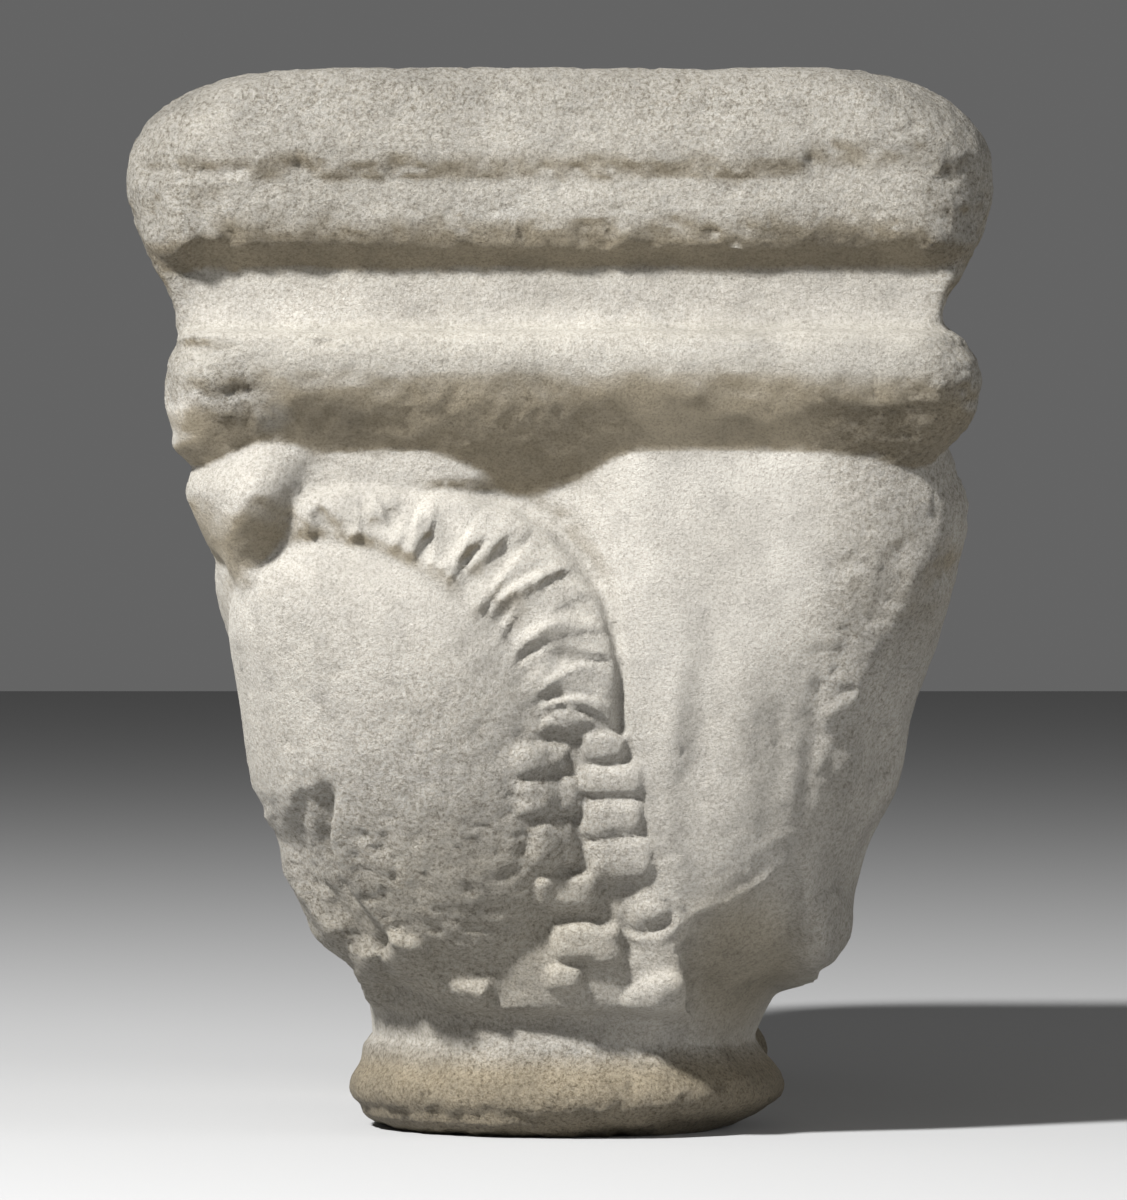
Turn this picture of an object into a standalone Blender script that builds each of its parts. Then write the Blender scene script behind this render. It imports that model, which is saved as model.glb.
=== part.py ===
"""Double capital: one marble block, a moulded abacus over two carved bells.

Metres, Z up. It stands on its two astragals, with the origin on the floor at
its middle. The bell at -Y carries the crouching beast. The bell at +Y mirrors
it and is plainer.
"""
import math

import bmesh
import bpy
import numpy as np

# Overall sizes
HEIGHT = 0.364
ABACUS_WIDTH = 0.293
ABACUS_LENGTH = 0.500
BELL_SPACING = 0.210

# Heights of the abacus mouldings, from the top bed down
UPPER_BAND_HEIGHT = 0.0377
FASCIA_HEIGHT = 0.0235
SOFFIT_HEIGHT = 0.0080
SCOTIA_HEIGHT = 0.0186
TORUS_HEIGHT = 0.0252
CHAMFER_HEIGHT = 0.0360

# How far each moulding stands back from the face of the upper band
FASCIA_INSET = 0.0038
SCOTIA_INSET = 0.0175
TORUS_INSET = 0.0038
CHAMFER_INSET = 0.0408

# Plan radii of the corners
BAND_CORNER = 0.030
SCOTIA_CORNER = 0.004
TORUS_CORNER = 0.018

# Rounding of the top edges: at the ends, and along the sides as width and height
END_ROUNDING = 0.012
SIDE_ROUND_WIDTH = 0.050
SIDE_ROUND_HEIGHT = 0.036

# Wear of the abacus: the step of the band, the left side of the torus and its corner
STEP_LEFT = -0.098
STEP_RIGHT = 0.079
TORUS_WEAR = 0.0090
TORUS_BREAK = 0.0050

# Bell, neck and astragal
BELL_HALF_WIDTH = 0.134
BELL_HALF_DEPTH = 0.134
BELL_LAP = 0.0125
NECK_RADIUS = 0.0685
ASTRAGAL_RADIUS = 0.0795
ASTRAGAL_HEIGHT = 0.032
BED_RADIUS = 0.0600
ASTRAGAL_WEAR = 0.0050

# Depth of the carving
BODY_RELIEF = 0.0155
DRAPE_RELIEF = 0.0085
HEAD_RELIEF = 0.0155
MANE_RELIEF = 0.0072
MANE_GROOVE = 0.0040
BLOCK_RELIEF = 0.0048
FOLD_RELIEF = 0.0030
RECESS_DEPTH = 0.0045
CREST_RELIEF = 0.0050
PAW_RELIEF = 0.0075
HOLLOW_DEPTH = 0.0160
LIP_RELIEF = 0.0085

# Number of locks in the mane
LOCKS = 16

# Share of a lock's height that the groove beside it takes, and its bend in degrees
LOCK_DEPTH = 0.40
MANE_BULGE = 3.6

# Points round a bell crowd on its carved face by this share
FACE_DENSITY = 0.45

# Triangles kept in each mass before they are joined, and in the finished stone
FACE_BELL_TRIANGLES = 7600
BACK_BELL_TRIANGLES = 2000
ABACUS_TRIANGLES = 2000
TRIANGLES = 9500

# Corners closer than this are one corner
SLIVER = 0.00008

# Levels that follow from the sizes above
FASCIA_TOP = HEIGHT - UPPER_BAND_HEIGHT
SOFFIT_TOP = FASCIA_TOP - FASCIA_HEIGHT
SCOTIA_TOP = SOFFIT_TOP - SOFFIT_HEIGHT
TORUS_TOP = SCOTIA_TOP - SCOTIA_HEIGHT
CHAMFER_TOP = TORUS_TOP - TORUS_HEIGHT
ABACUS_FOOT = CHAMFER_TOP - CHAMFER_HEIGHT
BELL_TOP = CHAMFER_TOP - BELL_LAP
BELL_HEIGHT = BELL_TOP - ASTRAGAL_HEIGHT

# Outline of the bell: share of its height, then share of its half width or half depth
LEFT_EDGE = ((0.00, 0.492), (0.06, 0.505), (0.10, 0.525), (0.13, 0.56), (0.16, 0.62),
             (0.23, 0.662), (0.30, 0.683), (0.37, 0.712), (0.43, 0.765), (0.50, 0.785),
             (0.57, 0.800), (0.63, 0.826), (0.70, 0.864), (0.77, 0.888), (0.84, 0.884),
             (0.91, 0.890), (1.00, 0.910))
RIGHT_EDGE = ((0.00, 0.511), (0.06, 0.558), (0.10, 0.600), (0.135, 0.69), (0.16, 0.735),
              (0.25, 0.775), (0.33, 0.81), (0.42, 0.88), (0.56, 0.92), (0.68, 0.98),
              (0.80, 1.025), (0.90, 1.045), (1.00, 0.99))
FACE_EDGE = ((0.00, 0.511), (0.05, 0.514), (0.09, 0.545), (0.17, 0.63), (0.31, 0.73),
             (0.48, 0.806), (0.65, 0.866), (0.82, 0.903), (1.00, 0.915))
SQUARENESS = ((0.00, 2.0), (0.10, 2.2), (0.30, 2.9), (0.50, 3.8), (0.70, 5.4), (0.85, 7.0),
              (1.00, 8.0))

# The mane runs round the haunch: its middle as shares of the half width and the height, and
# by degrees its inner and outer radius as shares of the half width, the strength of its
# locks and how far they bend
MANE_CENTRE = (-0.56, 0.505)
MANE_INNER = ((0, 0.490), (20, 0.465), (45, 0.445), (68, 0.475), (90, 0.505), (103, 0.510))
MANE_OUTER = ((0, 0.705), (8, 0.712), (20, 0.740), (30, 0.757), (45, 0.757), (54, 0.745),
              (62, 0.705), (72, 0.665), (103, 0.640))
MANE_FIRST = 103.0
MANE_LAST = 3.0
LOCK_STRENGTH = ((0, 0.9), (20, 1.0), (45, 0.95), (60, 0.60), (72, 0.45), (80, 0.6), (88, 0.9))
LOCK_BEND = ((0, 1.7), (25, 1.6), (45, 1.0), (65, 0.2), (90, -0.8))

# Square locks below the mane: middle, then half width and half height, as shares
BLOCKS = ((-0.048, 0.481, 0.070, 0.026), (-0.025, 0.421, 0.080, 0.032),
          (-0.016, 0.342, 0.052, 0.044), (0.020, 0.262, 0.080, 0.031),
          (0.042, 0.179, 0.063, 0.034), (0.010, 0.116, 0.045, 0.023),
          (0.111, 0.502, 0.056, 0.025), (0.130, 0.447, 0.080, 0.027),
          (0.131, 0.386, 0.078, 0.032), (0.152, 0.317, 0.080, 0.038),
          (0.115, 0.172, 0.044, 0.036))


def smooth(value):
    """Step from 0 to 1 with level ends."""
    value = np.clip(value, 0.0, 1.0)
    return value * value * (3.0 - 2.0 * value)


def track(level, table):
    """Value of a two-column table at a level."""
    return np.interp(level, [row[0] for row in table], [row[1] for row in table])


def flow(level, table):
    """Smooth curve through the rows of a two-column table."""
    at = np.array([row[0] for row in table])
    value = np.array([row[1] for row in table])
    slope = np.gradient(value, at)
    i = np.clip(np.searchsorted(at, level) - 1, 0, len(at) - 2)
    step = at[i + 1] - at[i]
    t = np.clip((level - at[i]) / step, 0.0, 1.0)
    start = value[i] * (1.0 - t) ** 2 * (1.0 + 2.0 * t) + slope[i] * step * t * (1.0 - t) ** 2
    end = value[i + 1] * t ** 2 * (3.0 - 2.0 * t) - slope[i + 1] * step * t ** 2 * (1.0 - t)
    return start + end


def place(points):
    """Points given as shares of the bell, in metres on its face."""
    return [(a * BELL_HALF_WIDTH, ASTRAGAL_HEIGHT + h * BELL_HEIGHT) for a, h in points]


def reach(x, z, path):
    """Distance to a path, the share of its length there, and the side (1 is left)."""
    best = np.full(np.shape(x), 10.0 * HEIGHT)
    share = np.zeros(np.shape(x))
    side = np.ones(np.shape(x))
    lengths = [math.dist(p, q) for p, q in zip(path, path[1:])]
    run = 0.0
    for (x0, z0), (x1, z1), length in zip(path, path[1:], lengths):
        dx = (x1 - x0) / length
        dz = (z1 - z0) / length
        t = np.clip((x - x0) * dx + (z - z0) * dz, 0.0, length)
        away = np.hypot(x - x0 - t * dx, z - z0 - t * dz)
        near = away < best
        best = np.where(near, away, best)
        share = np.where(near, (run + t) / sum(lengths), share)
        turn = dx * (z - z0) - dz * (x - x0)
        side = np.where(near, np.where(turn > 0.0, 1.0, -1.0), side)
        run += length
    return best, share, side


def ridge(x, z, points, half_width, height, taper=0.0):
    """Rounded ridge along a path; a negative height cuts a hollow."""
    away, share, _ = reach(x, z, place(points))
    fade = smooth(share / taper) * smooth((1.0 - share) / taper) if taper else 1.0
    return height * fade * smooth(1.0 - away / (half_width * BELL_HALF_WIDTH))


def dome(x, z, centre, half_x, half_z, height, tilt=0.0, power=2.0):
    """Rounded lump with an elliptical foot, squarer as the power rises."""
    (x0, z0), = place([centre])
    c = math.cos(tilt)
    s = math.sin(tilt)
    along = np.abs(((x - x0) * c + (z - z0) * s) / (half_x * BELL_HALF_WIDTH))
    across = np.abs(((z - z0) * c - (x - x0) * s) / (half_z * BELL_HALF_WIDTH))
    return height * np.sqrt(np.clip(1.0 - along ** power - across ** power, 0.0, 1.0))


def patch(x, z, points, edge):
    """1 inside an outline, falling to 0 over the width of its edge."""
    path = place(points)
    away, _, _ = reach(x, z, path + path[:1])
    inside = np.zeros(np.shape(x), dtype=bool)
    for (x0, z0), (x1, z1) in zip(path, path[1:] + path[:1]):
        crosses = (z0 > z) != (z1 > z)
        rise = np.where(z1 == z0, 1.0, z1 - z0)
        inside ^= crosses & (x < x0 + (x1 - x0) * (z - z0) / rise)
    return smooth(0.5 + np.where(inside, away, -away) / (edge * BELL_HALF_WIDTH))


def mane(x, z, detail):
    """Arched band of wavy locks, with the groove that runs outside it."""
    (x0, z0), = place([MANE_CENTRE])
    turn = np.degrees(np.arctan2(z - z0, x - x0))
    away = np.hypot(x - x0, z - z0) / BELL_HALF_WIDTH
    outer = track(turn, MANE_OUTER)
    start = track(turn, MANE_INNER)
    across = (away - start) / (outer - start)
    ends = smooth((turn - MANE_LAST + 3.0) / 6.0) * smooth((MANE_FIRST + 3.0 - turn) / 14.0)
    body = smooth(0.15 + across / 0.30) * smooth(0.5 + (1.0 - across) / 0.16) * ends
    inner = np.clip(across, 0.0, 1.0)
    crown = MANE_RELIEF * (0.15 + 0.85 * np.sin(math.pi * inner ** 1.05) ** 0.8)
    if detail:
        # Each lock rises slowly on its upper side and drops steeply on its lower side
        bulge = MANE_BULGE * track(turn, LOCK_BEND) * np.sin(math.pi * inner ** 0.75)
        count = LOCKS * (MANE_FIRST - turn + bulge) / (MANE_FIRST - MANE_LAST)
        count = count + 0.22 * np.sin(2.4 * count) + 0.14 * np.sin(5.3 * count + 9.0 * inner)
        part = count - np.floor(count)
        lock = np.minimum(smooth(part / 0.62), smooth((1.0 - part) / 0.30))
        thick = 1.0 + 0.18 * np.sin(3.7 * np.floor(count) + 3.0 * inner)
        groove_share = LOCK_DEPTH * track(turn, LOCK_STRENGTH) * (1.0 - 0.35 * inner)
        strands = 0.13 * np.sin(2.0 * math.pi * (2.0 * count + 0.8 * inner))
        crown = crown * thick * (1.0 + strands - groove_share * (1.0 - lock))
    wide = 0.035 + 0.055 * smooth((turn - 15.0) / 30.0) * smooth((75.0 - turn) / 20.0)
    beyond = (away - outer) / wide
    groove = -MANE_GROOVE * smooth(1.0 - beyond) * smooth(1.0 + 4.0 * beyond) * ends
    groove = groove * smooth((80.0 - turn) / 20.0)
    return crown * body + groove * (1.0 - body)


def beast_body(arc, z):
    """Swelling haunch and flank that wrap round the corner."""
    (x0, z0), = place([(-0.37, 0.47)])
    c = math.cos(0.26)
    s = math.sin(0.26)
    along = (z - z0) * c - (arc - x0) * s
    across = (arc - x0) * c + (z - z0) * s
    long_half = np.where(along > 0.0, 0.62, 0.56) * BELL_HALF_WIDTH
    wide_half = np.where(across > 0.0, 0.345, 0.72) * BELL_HALF_WIDTH
    spread = np.abs(along / long_half) ** 2.2 + np.abs(across / wide_half) ** 2.2
    return BODY_RELIEF * np.clip(1.0 - spread, 0.0, 1.0) ** 0.75


def head(x, z):
    """Head under the corner of the abacus: a lit cheek, a steep right side and a point."""
    right = place(((-0.56, 1.30), (-0.61, 1.02), (-0.64, 0.93), (-0.66, 0.89), (-0.69, 0.85), (-0.73, 0.81),
                   (-0.765, 0.765), (-0.795, 0.750)))
    lower = place(((-0.795, 0.750), (-0.84, 0.775), (-0.88, 0.805), (-0.96, 0.83), (-1.10, 0.84)))
    inside = patch(x, z, ((-0.56, 1.30), (-0.61, 1.02), (-0.64, 0.93), (-0.66, 0.89), (-0.69, 0.85),
                          (-0.73, 0.81), (-0.765, 0.765), (-0.795, 0.750), (-0.84, 0.775),
                          (-0.88, 0.805), (-0.96, 0.83), (-1.10, 0.84), (-1.10, 1.30)), 0.034)
    away, _, _ = reach(x, z, right)
    under, _, _ = reach(x, z, lower)
    cheek = 1.0 - np.clip(1.0 - away / (0.125 * BELL_HALF_WIDTH), 0.0, 1.0) ** 1.5
    jaw = 1.0 - 0.75 * np.clip(1.0 - under / (0.16 * BELL_HALF_WIDTH), 0.0, 1.0) ** 2.0
    back = np.clip(away / BELL_HALF_WIDTH - 0.11, 0.0, 1.0)
    brow = 0.15 + 0.85 * smooth((ASTRAGAL_HEIGHT + 1.03 * BELL_HEIGHT - z) / (0.12 * BELL_HEIGHT))
    return HEAD_RELIEF * inside * (cheek * jaw - 0.7 * back) * brow


def face_field(x, z):
    """Smooth drapery right of the mane, with its soft folds and the hollow over it."""
    path = place(((-0.06, 1.06), (-0.05, 0.94), (0.01, 0.86), (0.07, 0.78), (0.11, 0.70)))
    away, share, _ = reach(x, z, path)
    wide = (0.34 - 0.20 * share) * BELL_HALF_WIDTH
    field = -HOLLOW_DEPTH * (1.0 - 0.85 * share) * smooth(1.0 - away / wide)
    a = x / BELL_HALF_WIDTH
    h = (z - ASTRAGAL_HEIGHT) / BELL_HEIGHT
    full = smooth((a - 0.14) / 0.16) * smooth((0.78 - a) / 0.16)
    field += DRAPE_RELIEF * full * smooth((0.66 - h) / 0.42)
    field += ridge(x, z, ((0.33, 0.70), (0.27, 0.50), (0.21, 0.34)), 0.07, 0.5 * FOLD_RELIEF, 0.5)
    field += ridge(x, z, ((0.40, 0.85), (0.36, 0.62), (0.34, 0.44), (0.355, 0.22)), 0.075,
                   -0.8 * FOLD_RELIEF, 0.6)
    field += ridge(x, z, ((0.52, 0.85), (0.47, 0.60), (0.46, 0.42), (0.47, 0.22)), 0.10,
                   0.7 * FOLD_RELIEF, 0.5)
    field += ridge(x, z, ((0.66, 0.75), (0.64, 0.55), (0.625, 0.42), (0.61, 0.24)), 0.040,
                   -0.5 * FOLD_RELIEF, 0.5)
    return field


def corner_figure(x, z):
    """Worn crest and lumps down the right corner."""
    form = ridge(x, z, ((1.02, 0.880), (0.98, 0.835), (0.91, 0.785), (0.89, 0.740), (0.85, 0.710),
                        (0.80, 0.660), (0.76, 0.610), (0.72, 0.575), (0.69, 0.555)),
                 0.075, 0.36 * CREST_RELIEF, 0.15)
    form += ridge(x, z, ((0.99, 0.79), (0.93, 0.70), (0.87, 0.62)), 0.040, 0.5 * CREST_RELIEF, 0.2)
    form += ridge(x, z, ((1.00, 0.83), (0.94, 0.74), (0.89, 0.66), (0.83, 0.57)), 0.050,
                  -0.4 * CREST_RELIEF, 0.2)
    form += dome(x, z, (0.735, 0.560), 0.080, 0.045, 0.35 * CREST_RELIEF, 0.45)
    form += dome(x, z, (0.810, 0.495), 0.060, 0.085, -0.7 * CREST_RELIEF, -0.15)
    form += ridge(x, z, ((0.77, 0.54), (0.74, 0.46), (0.73, 0.36), (0.75, 0.28)), 0.075,
                  0.5 * CREST_RELIEF, 0.3)
    form += dome(x, z, (0.72, 0.190), 0.100, 0.110, CREST_RELIEF)
    return form


def haunch(x, z, face):
    """Hollow between the haunch and the leg, and the edge of the leg left of it."""
    path = place(((-0.585, 0.455), (-0.595, 0.41), (-0.600, 0.34), (-0.57, 0.275),
                  (-0.515, 0.225), (-0.44, 0.170), (-0.33, 0.125)))
    away, share, side = reach(x, z, path)
    width = np.where(side > 0.0, 0.038, 0.05 + 0.065 * smooth(share / 0.35))
    depth = 0.85 * PAW_RELIEF * (1.0 - 0.5 * smooth((share - 0.5) / 0.5))
    depth = depth * smooth(share / 0.10) * smooth((1.0 - share) / 0.12)
    face = face - depth * smooth(1.0 - away / (width * BELL_HALF_WIDTH))
    face = face + ridge(x, z, ((-0.568, 0.43), (-0.568, 0.37), (-0.558, 0.30), (-0.515, 0.24),
                               (-0.45, 0.185), (-0.37, 0.145)), 0.050, 0.42 * PAW_RELIEF, 0.2)
    return face + ridge(x, z, ((-0.76, 0.40), (-0.70, 0.31), (-0.63, 0.25), (-0.55, 0.17)), 0.050,
                        0.4 * PAW_RELIEF, 0.1)


def paws(x, z, detail):
    """Paws, ring and lumps along the foot of the carving."""
    form = dome(x, z, (-0.405, 0.145), 0.084, 0.070, 1.45 * PAW_RELIEF, -0.35)
    form = np.maximum(form, ridge(x, z, ((-0.40, 0.125), (-0.30, 0.100), (-0.16, 0.085)), 0.070,
                                  0.85 * PAW_RELIEF, 0.15))
    form = np.maximum(form, dome(x, z, (-0.495, 0.105), 0.042, 0.090, 0.8 * PAW_RELIEF, 0.30))
    form = np.maximum(form, dome(x, z, (0.255, 0.088), 0.100, 0.056, 0.75 * PAW_RELIEF, 0.25))
    if detail:
        form += dome(x, z, (0.229, 0.217), 0.100, 0.070, 0.50 * BLOCK_RELIEF, 0.2)
        form -= dome(x, z, (0.224, 0.220), 0.078, 0.052, 0.75 * BLOCK_RELIEF, 0.3)
        form += dome(x, z, (0.218, 0.225), 0.056, 0.036, 1.0 * BLOCK_RELIEF, 0.35)
    return form


def carving(x, z, arc, detail):
    """How far the carved face stands in front of the plain bell."""
    h = (z - ASTRAGAL_HEIGHT) / BELL_HEIGHT
    face = face_field(x, z) + beast_body(arc, z)
    face = haunch(x, z, face)
    horn = head(x, z)
    face = face + mane(x, z, detail) * smooth(1.0 - 4.0 * horn / HEAD_RELIEF)
    if detail:
        blocks = np.zeros(np.shape(x))
        for a, middle, half_a, half_h in BLOCKS:
            half_z = half_h * BELL_HEIGHT / BELL_HALF_WIDTH
            blocks = np.maximum(blocks, dome(x, z, (a, middle), half_a, half_z, 1.0, 0.05, 3.8))
        face = face + BLOCK_RELIEF * blocks
    face = face + horn
    # Hem of the drapery, with the recess under it
    recess = patch(x, z, ((0.36, 0.00), (0.345, 0.07), (0.325, 0.13), (0.305, 0.165), (0.35, 0.222),
                          (0.42, 0.230), (0.50, 0.262), (0.60, 0.315), (0.60, 0.20), (0.57, 0.12),
                          (0.57, 0.00)), 0.018)
    sunk = (DRAPE_RELIEF - RECESS_DEPTH) * smooth((h - 0.03) / 0.20)
    face = face * (1.0 - recess) + recess * sunk
    hem = ridge(x, z, ((0.305, 0.175), (0.35, 0.228), (0.42, 0.236), (0.50, 0.268), (0.60, 0.320)),
                0.035, 0.4 * FOLD_RELIEF, 0.2)
    lip = LIP_RELIEF * (0.35 + 0.65 * smooth((x / BELL_HALF_WIDTH + 0.30) / 0.30))
    lip = lip * smooth((h - 0.045) / 0.02) * smooth((0.22 - h) / 0.14)
    face += hem + (1.0 - recess) * lip
    return face + paws(x, z, detail) + corner_figure(x, z)


def bell_grid(columns, rows, detail):
    """Rings of the bell, neck and astragal round an axis at the origin."""
    turn = np.linspace(-math.pi, math.pi, columns, endpoint=False)
    turn = turn - FACE_DENSITY * np.cos(turn)
    foot = np.linspace(0.0, ASTRAGAL_HEIGHT, 12, endpoint=False)
    shaft = np.linspace(ASTRAGAL_HEIGHT, CHAMFER_TOP - 0.05 * CHAMFER_HEIGHT, rows)
    z = np.concatenate([foot, shaft])[:, None] + np.zeros((1, columns))
    turn = turn[None, :] + np.zeros_like(z)
    h = (z - ASTRAGAL_HEIGHT) / BELL_HEIGHT
    c = np.cos(turn)
    s = np.sin(turn)
    half_x = BELL_HALF_WIDTH * np.where(c > 0.0, flow(h, RIGHT_EDGE), flow(h, LEFT_EDGE))
    half_y = BELL_HALF_DEPTH * flow(h, FACE_EDGE)
    power = flow(h, SQUARENESS)
    radius = (np.abs(c / half_x) ** power + np.abs(s / half_y) ** power) ** (-1.0 / power)
    x = radius * c
    y = radius * s
    normal_x = np.sign(c) * np.abs(c * radius / half_x) ** (power - 1.0) / half_x
    normal_y = np.sign(s) * np.abs(s * radius / half_y) ** (power - 1.0) / half_y
    size = np.hypot(normal_x, normal_y)
    normal_x /= size
    normal_y /= size
    # Length round the section from the middle of the face, negative to the left
    front = int(np.argmin(np.abs(turn[0] + 0.5 * math.pi)))
    steps = np.hypot(np.diff(x, axis=1), np.diff(y, axis=1))
    arc = np.concatenate([np.zeros((len(z), 1)), np.cumsum(steps, axis=1)], axis=1)
    arc = arc - arc[:, front:front + 1]
    facing = smooth((-normal_y - 0.02) / 0.40) * (s < 0.0)
    fade = facing * smooth((h - 0.02) / 0.05)
    # The carving stands over the spot that it is seen at, not over its own foot
    near = x + normal_x * carving(x, z, arc, False) * fade
    out = carving(near, z, arc, detail) * fade
    x = x + normal_x * out
    y = y + normal_y * out
    low = z < ASTRAGAL_HEIGHT
    ring = astragal_radius(z / ASTRAGAL_HEIGHT, c)
    x = np.where(low, ring * c, x)
    y = np.where(low, ring * s, y)
    return x, y, z


def astragal_radius(level, right):
    """Radius of the astragal at a share of its height, worn back on the left."""
    proud = ASTRAGAL_RADIUS - NECK_RADIUS
    profile = ((0.00, BED_RADIUS), (0.07, 0.4 * BED_RADIUS + 0.6 * NECK_RADIUS),
               (0.20, NECK_RADIUS + 0.36 * proud), (0.32, NECK_RADIUS + 0.87 * proud),
               (0.44, ASTRAGAL_RADIUS), (0.56, NECK_RADIUS + 0.93 * proud),
               (0.68, NECK_RADIUS + 0.66 * proud), (0.80, NECK_RADIUS + 0.32 * proud),
               (0.92, NECK_RADIUS + 0.06 * proud), (1.02, NECK_RADIUS))
    ring = track(level, profile)
    worn = smooth(0.5 - 1.2 * right) * smooth((ring - NECK_RADIUS) / (0.7 * proud))
    return ring - ASTRAGAL_WEAR * worn


def moulding_levels(steps):
    """Levels of the abacus rings, with the inset of the ends and of the long sides."""
    arris = SCOTIA_INSET - TORUS_INSET
    ends = ((ABACUS_FOOT, CHAMFER_INSET),
            (CHAMFER_TOP, TORUS_INSET + 0.44 * arris),
            (CHAMFER_TOP + 0.07 * TORUS_HEIGHT, TORUS_INSET + 0.33 * arris),
            (CHAMFER_TOP + 0.23 * TORUS_HEIGHT, TORUS_INSET + 0.165 * arris),
            (CHAMFER_TOP + 0.39 * TORUS_HEIGHT, TORUS_INSET + 0.05 * arris),
            (CHAMFER_TOP + 0.58 * TORUS_HEIGHT, TORUS_INSET),
            (CHAMFER_TOP + 0.73 * TORUS_HEIGHT, TORUS_INSET + 0.02 * arris),
            (CHAMFER_TOP + 0.88 * TORUS_HEIGHT, TORUS_INSET + 0.10 * arris),
            (CHAMFER_TOP + 0.96 * TORUS_HEIGHT, TORUS_INSET + 0.28 * arris),
            (TORUS_TOP, TORUS_INSET + 0.62 * arris),
            (TORUS_TOP + 0.08 * SCOTIA_HEIGHT, TORUS_INSET + 0.80 * arris),
            (TORUS_TOP + 0.24 * SCOTIA_HEIGHT, TORUS_INSET + 0.93 * arris),
            (TORUS_TOP + 0.50 * SCOTIA_HEIGHT, SCOTIA_INSET),
            (SCOTIA_TOP, SCOTIA_INSET),
            (SCOTIA_TOP + 0.35 * SOFFIT_HEIGHT, 0.96 * SCOTIA_INSET),
            (SCOTIA_TOP + 0.65 * SOFFIT_HEIGHT, 0.80 * SCOTIA_INSET),
            (SOFFIT_TOP, FASCIA_INSET + 0.38 * SCOTIA_INSET),
            (SOFFIT_TOP + 0.11 * FASCIA_HEIGHT, FASCIA_INSET + 0.23 * SCOTIA_INSET),
            (SOFFIT_TOP + 0.28 * FASCIA_HEIGHT, FASCIA_INSET + 0.10 * SCOTIA_INSET),
            (SOFFIT_TOP + 0.45 * FASCIA_HEIGHT, FASCIA_INSET + 0.03 * SCOTIA_INSET),
            (SOFFIT_TOP + 0.62 * FASCIA_HEIGHT, FASCIA_INSET),
            (FASCIA_TOP, FASCIA_INSET),
            (FASCIA_TOP + 0.03 * UPPER_BAND_HEIGHT, 0.66 * FASCIA_INSET),
            (FASCIA_TOP + 0.09 * UPPER_BAND_HEIGHT, 0.42 * FASCIA_INSET),
            (FASCIA_TOP + 0.14 * UPPER_BAND_HEIGHT, 0.20 * FASCIA_INSET),
            (FASCIA_TOP + 0.19 * UPPER_BAND_HEIGHT, 0.07 * FASCIA_INSET),
            (FASCIA_TOP + 0.26 * UPPER_BAND_HEIGHT, 0.0))
    sides = ((ABACUS_FOOT, CHAMFER_INSET),
             (CHAMFER_TOP - 0.56 * TORUS_HEIGHT, TORUS_INSET + 0.86 * arris),
             (CHAMFER_TOP - 0.32 * TORUS_HEIGHT, TORUS_INSET + 0.40 * arris),
             (CHAMFER_TOP - 0.08 * TORUS_HEIGHT, TORUS_INSET + 0.14 * arris),
             (CHAMFER_TOP + 0.30 * TORUS_HEIGHT, TORUS_INSET),
             (CHAMFER_TOP + 0.62 * TORUS_HEIGHT, TORUS_INSET + 0.16 * arris),
             (CHAMFER_TOP + 0.88 * TORUS_HEIGHT, TORUS_INSET + 0.50 * arris),
             (TORUS_TOP, TORUS_INSET + 0.82 * arris),
             (TORUS_TOP + 0.06 * SCOTIA_HEIGHT, 0.98 * SCOTIA_INSET),
             (TORUS_TOP + 0.32 * SCOTIA_HEIGHT, SCOTIA_INSET),
             (TORUS_TOP + 0.69 * SCOTIA_HEIGHT, 0.86 * SCOTIA_INSET),
             (SCOTIA_TOP, 0.64 * SCOTIA_INSET),
             (SCOTIA_TOP + 0.70 * SOFFIT_HEIGHT, 0.47 * SCOTIA_INSET),
             (SOFFIT_TOP + 0.22 * FASCIA_HEIGHT, 0.25 * SCOTIA_INSET),
             (SOFFIT_TOP + 0.47 * FASCIA_HEIGHT, 0.12 * SCOTIA_INSET),
             (SOFFIT_TOP + 0.73 * FASCIA_HEIGHT, 0.03 * SCOTIA_INSET),
             (FASCIA_TOP, 0.0))
    levels = [ends[0][0]]
    for (low, _), (high, _) in zip(ends, ends[1:]):
        count = max(1, round((high - low) / steps))
        levels += [low + (high - low) * (i + 1) / count for i in range(count)]
    levels += list(np.linspace(levels[-1], HEIGHT - END_ROUNDING, 6)[1:])
    turns = np.linspace(0.0, 0.5 * math.pi, 9)[1:]
    levels += [HEIGHT - END_ROUNDING + END_ROUNDING * math.sin(turn) for turn in turns]
    levels = np.array(levels)
    end_rise = np.clip((levels - HEIGHT) / END_ROUNDING + 1.0, 0.0, 1.0)
    side_rise = np.clip((levels - HEIGHT) / SIDE_ROUND_HEIGHT + 1.0, 0.0, 1.0)
    end_round = END_ROUNDING * (1.0 - np.sqrt(1.0 - end_rise ** 2))
    side_round = SIDE_ROUND_WIDTH * (1.0 - np.sqrt(1.0 - side_rise ** 2))
    return levels, track(levels, ends) + end_round, track(levels, sides) + side_round


def corner_radius(level):
    """Plan radius of the abacus corners at each level."""
    table = ((ABACUS_FOOT, SCOTIA_CORNER), (CHAMFER_TOP, TORUS_CORNER),
             (CHAMFER_TOP + 0.80 * TORUS_HEIGHT, TORUS_CORNER),
             (TORUS_TOP, 0.5 * (TORUS_CORNER + SCOTIA_CORNER)),
             (TORUS_TOP + 0.24 * SCOTIA_HEIGHT, SCOTIA_CORNER), (SCOTIA_TOP, SCOTIA_CORNER),
             (SOFFIT_TOP, 0.5 * (SCOTIA_CORNER + BAND_CORNER)),
             (SOFFIT_TOP + 0.45 * FASCIA_HEIGHT, BAND_CORNER), (HEIGHT, BAND_CORNER))
    return track(level, table)


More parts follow.
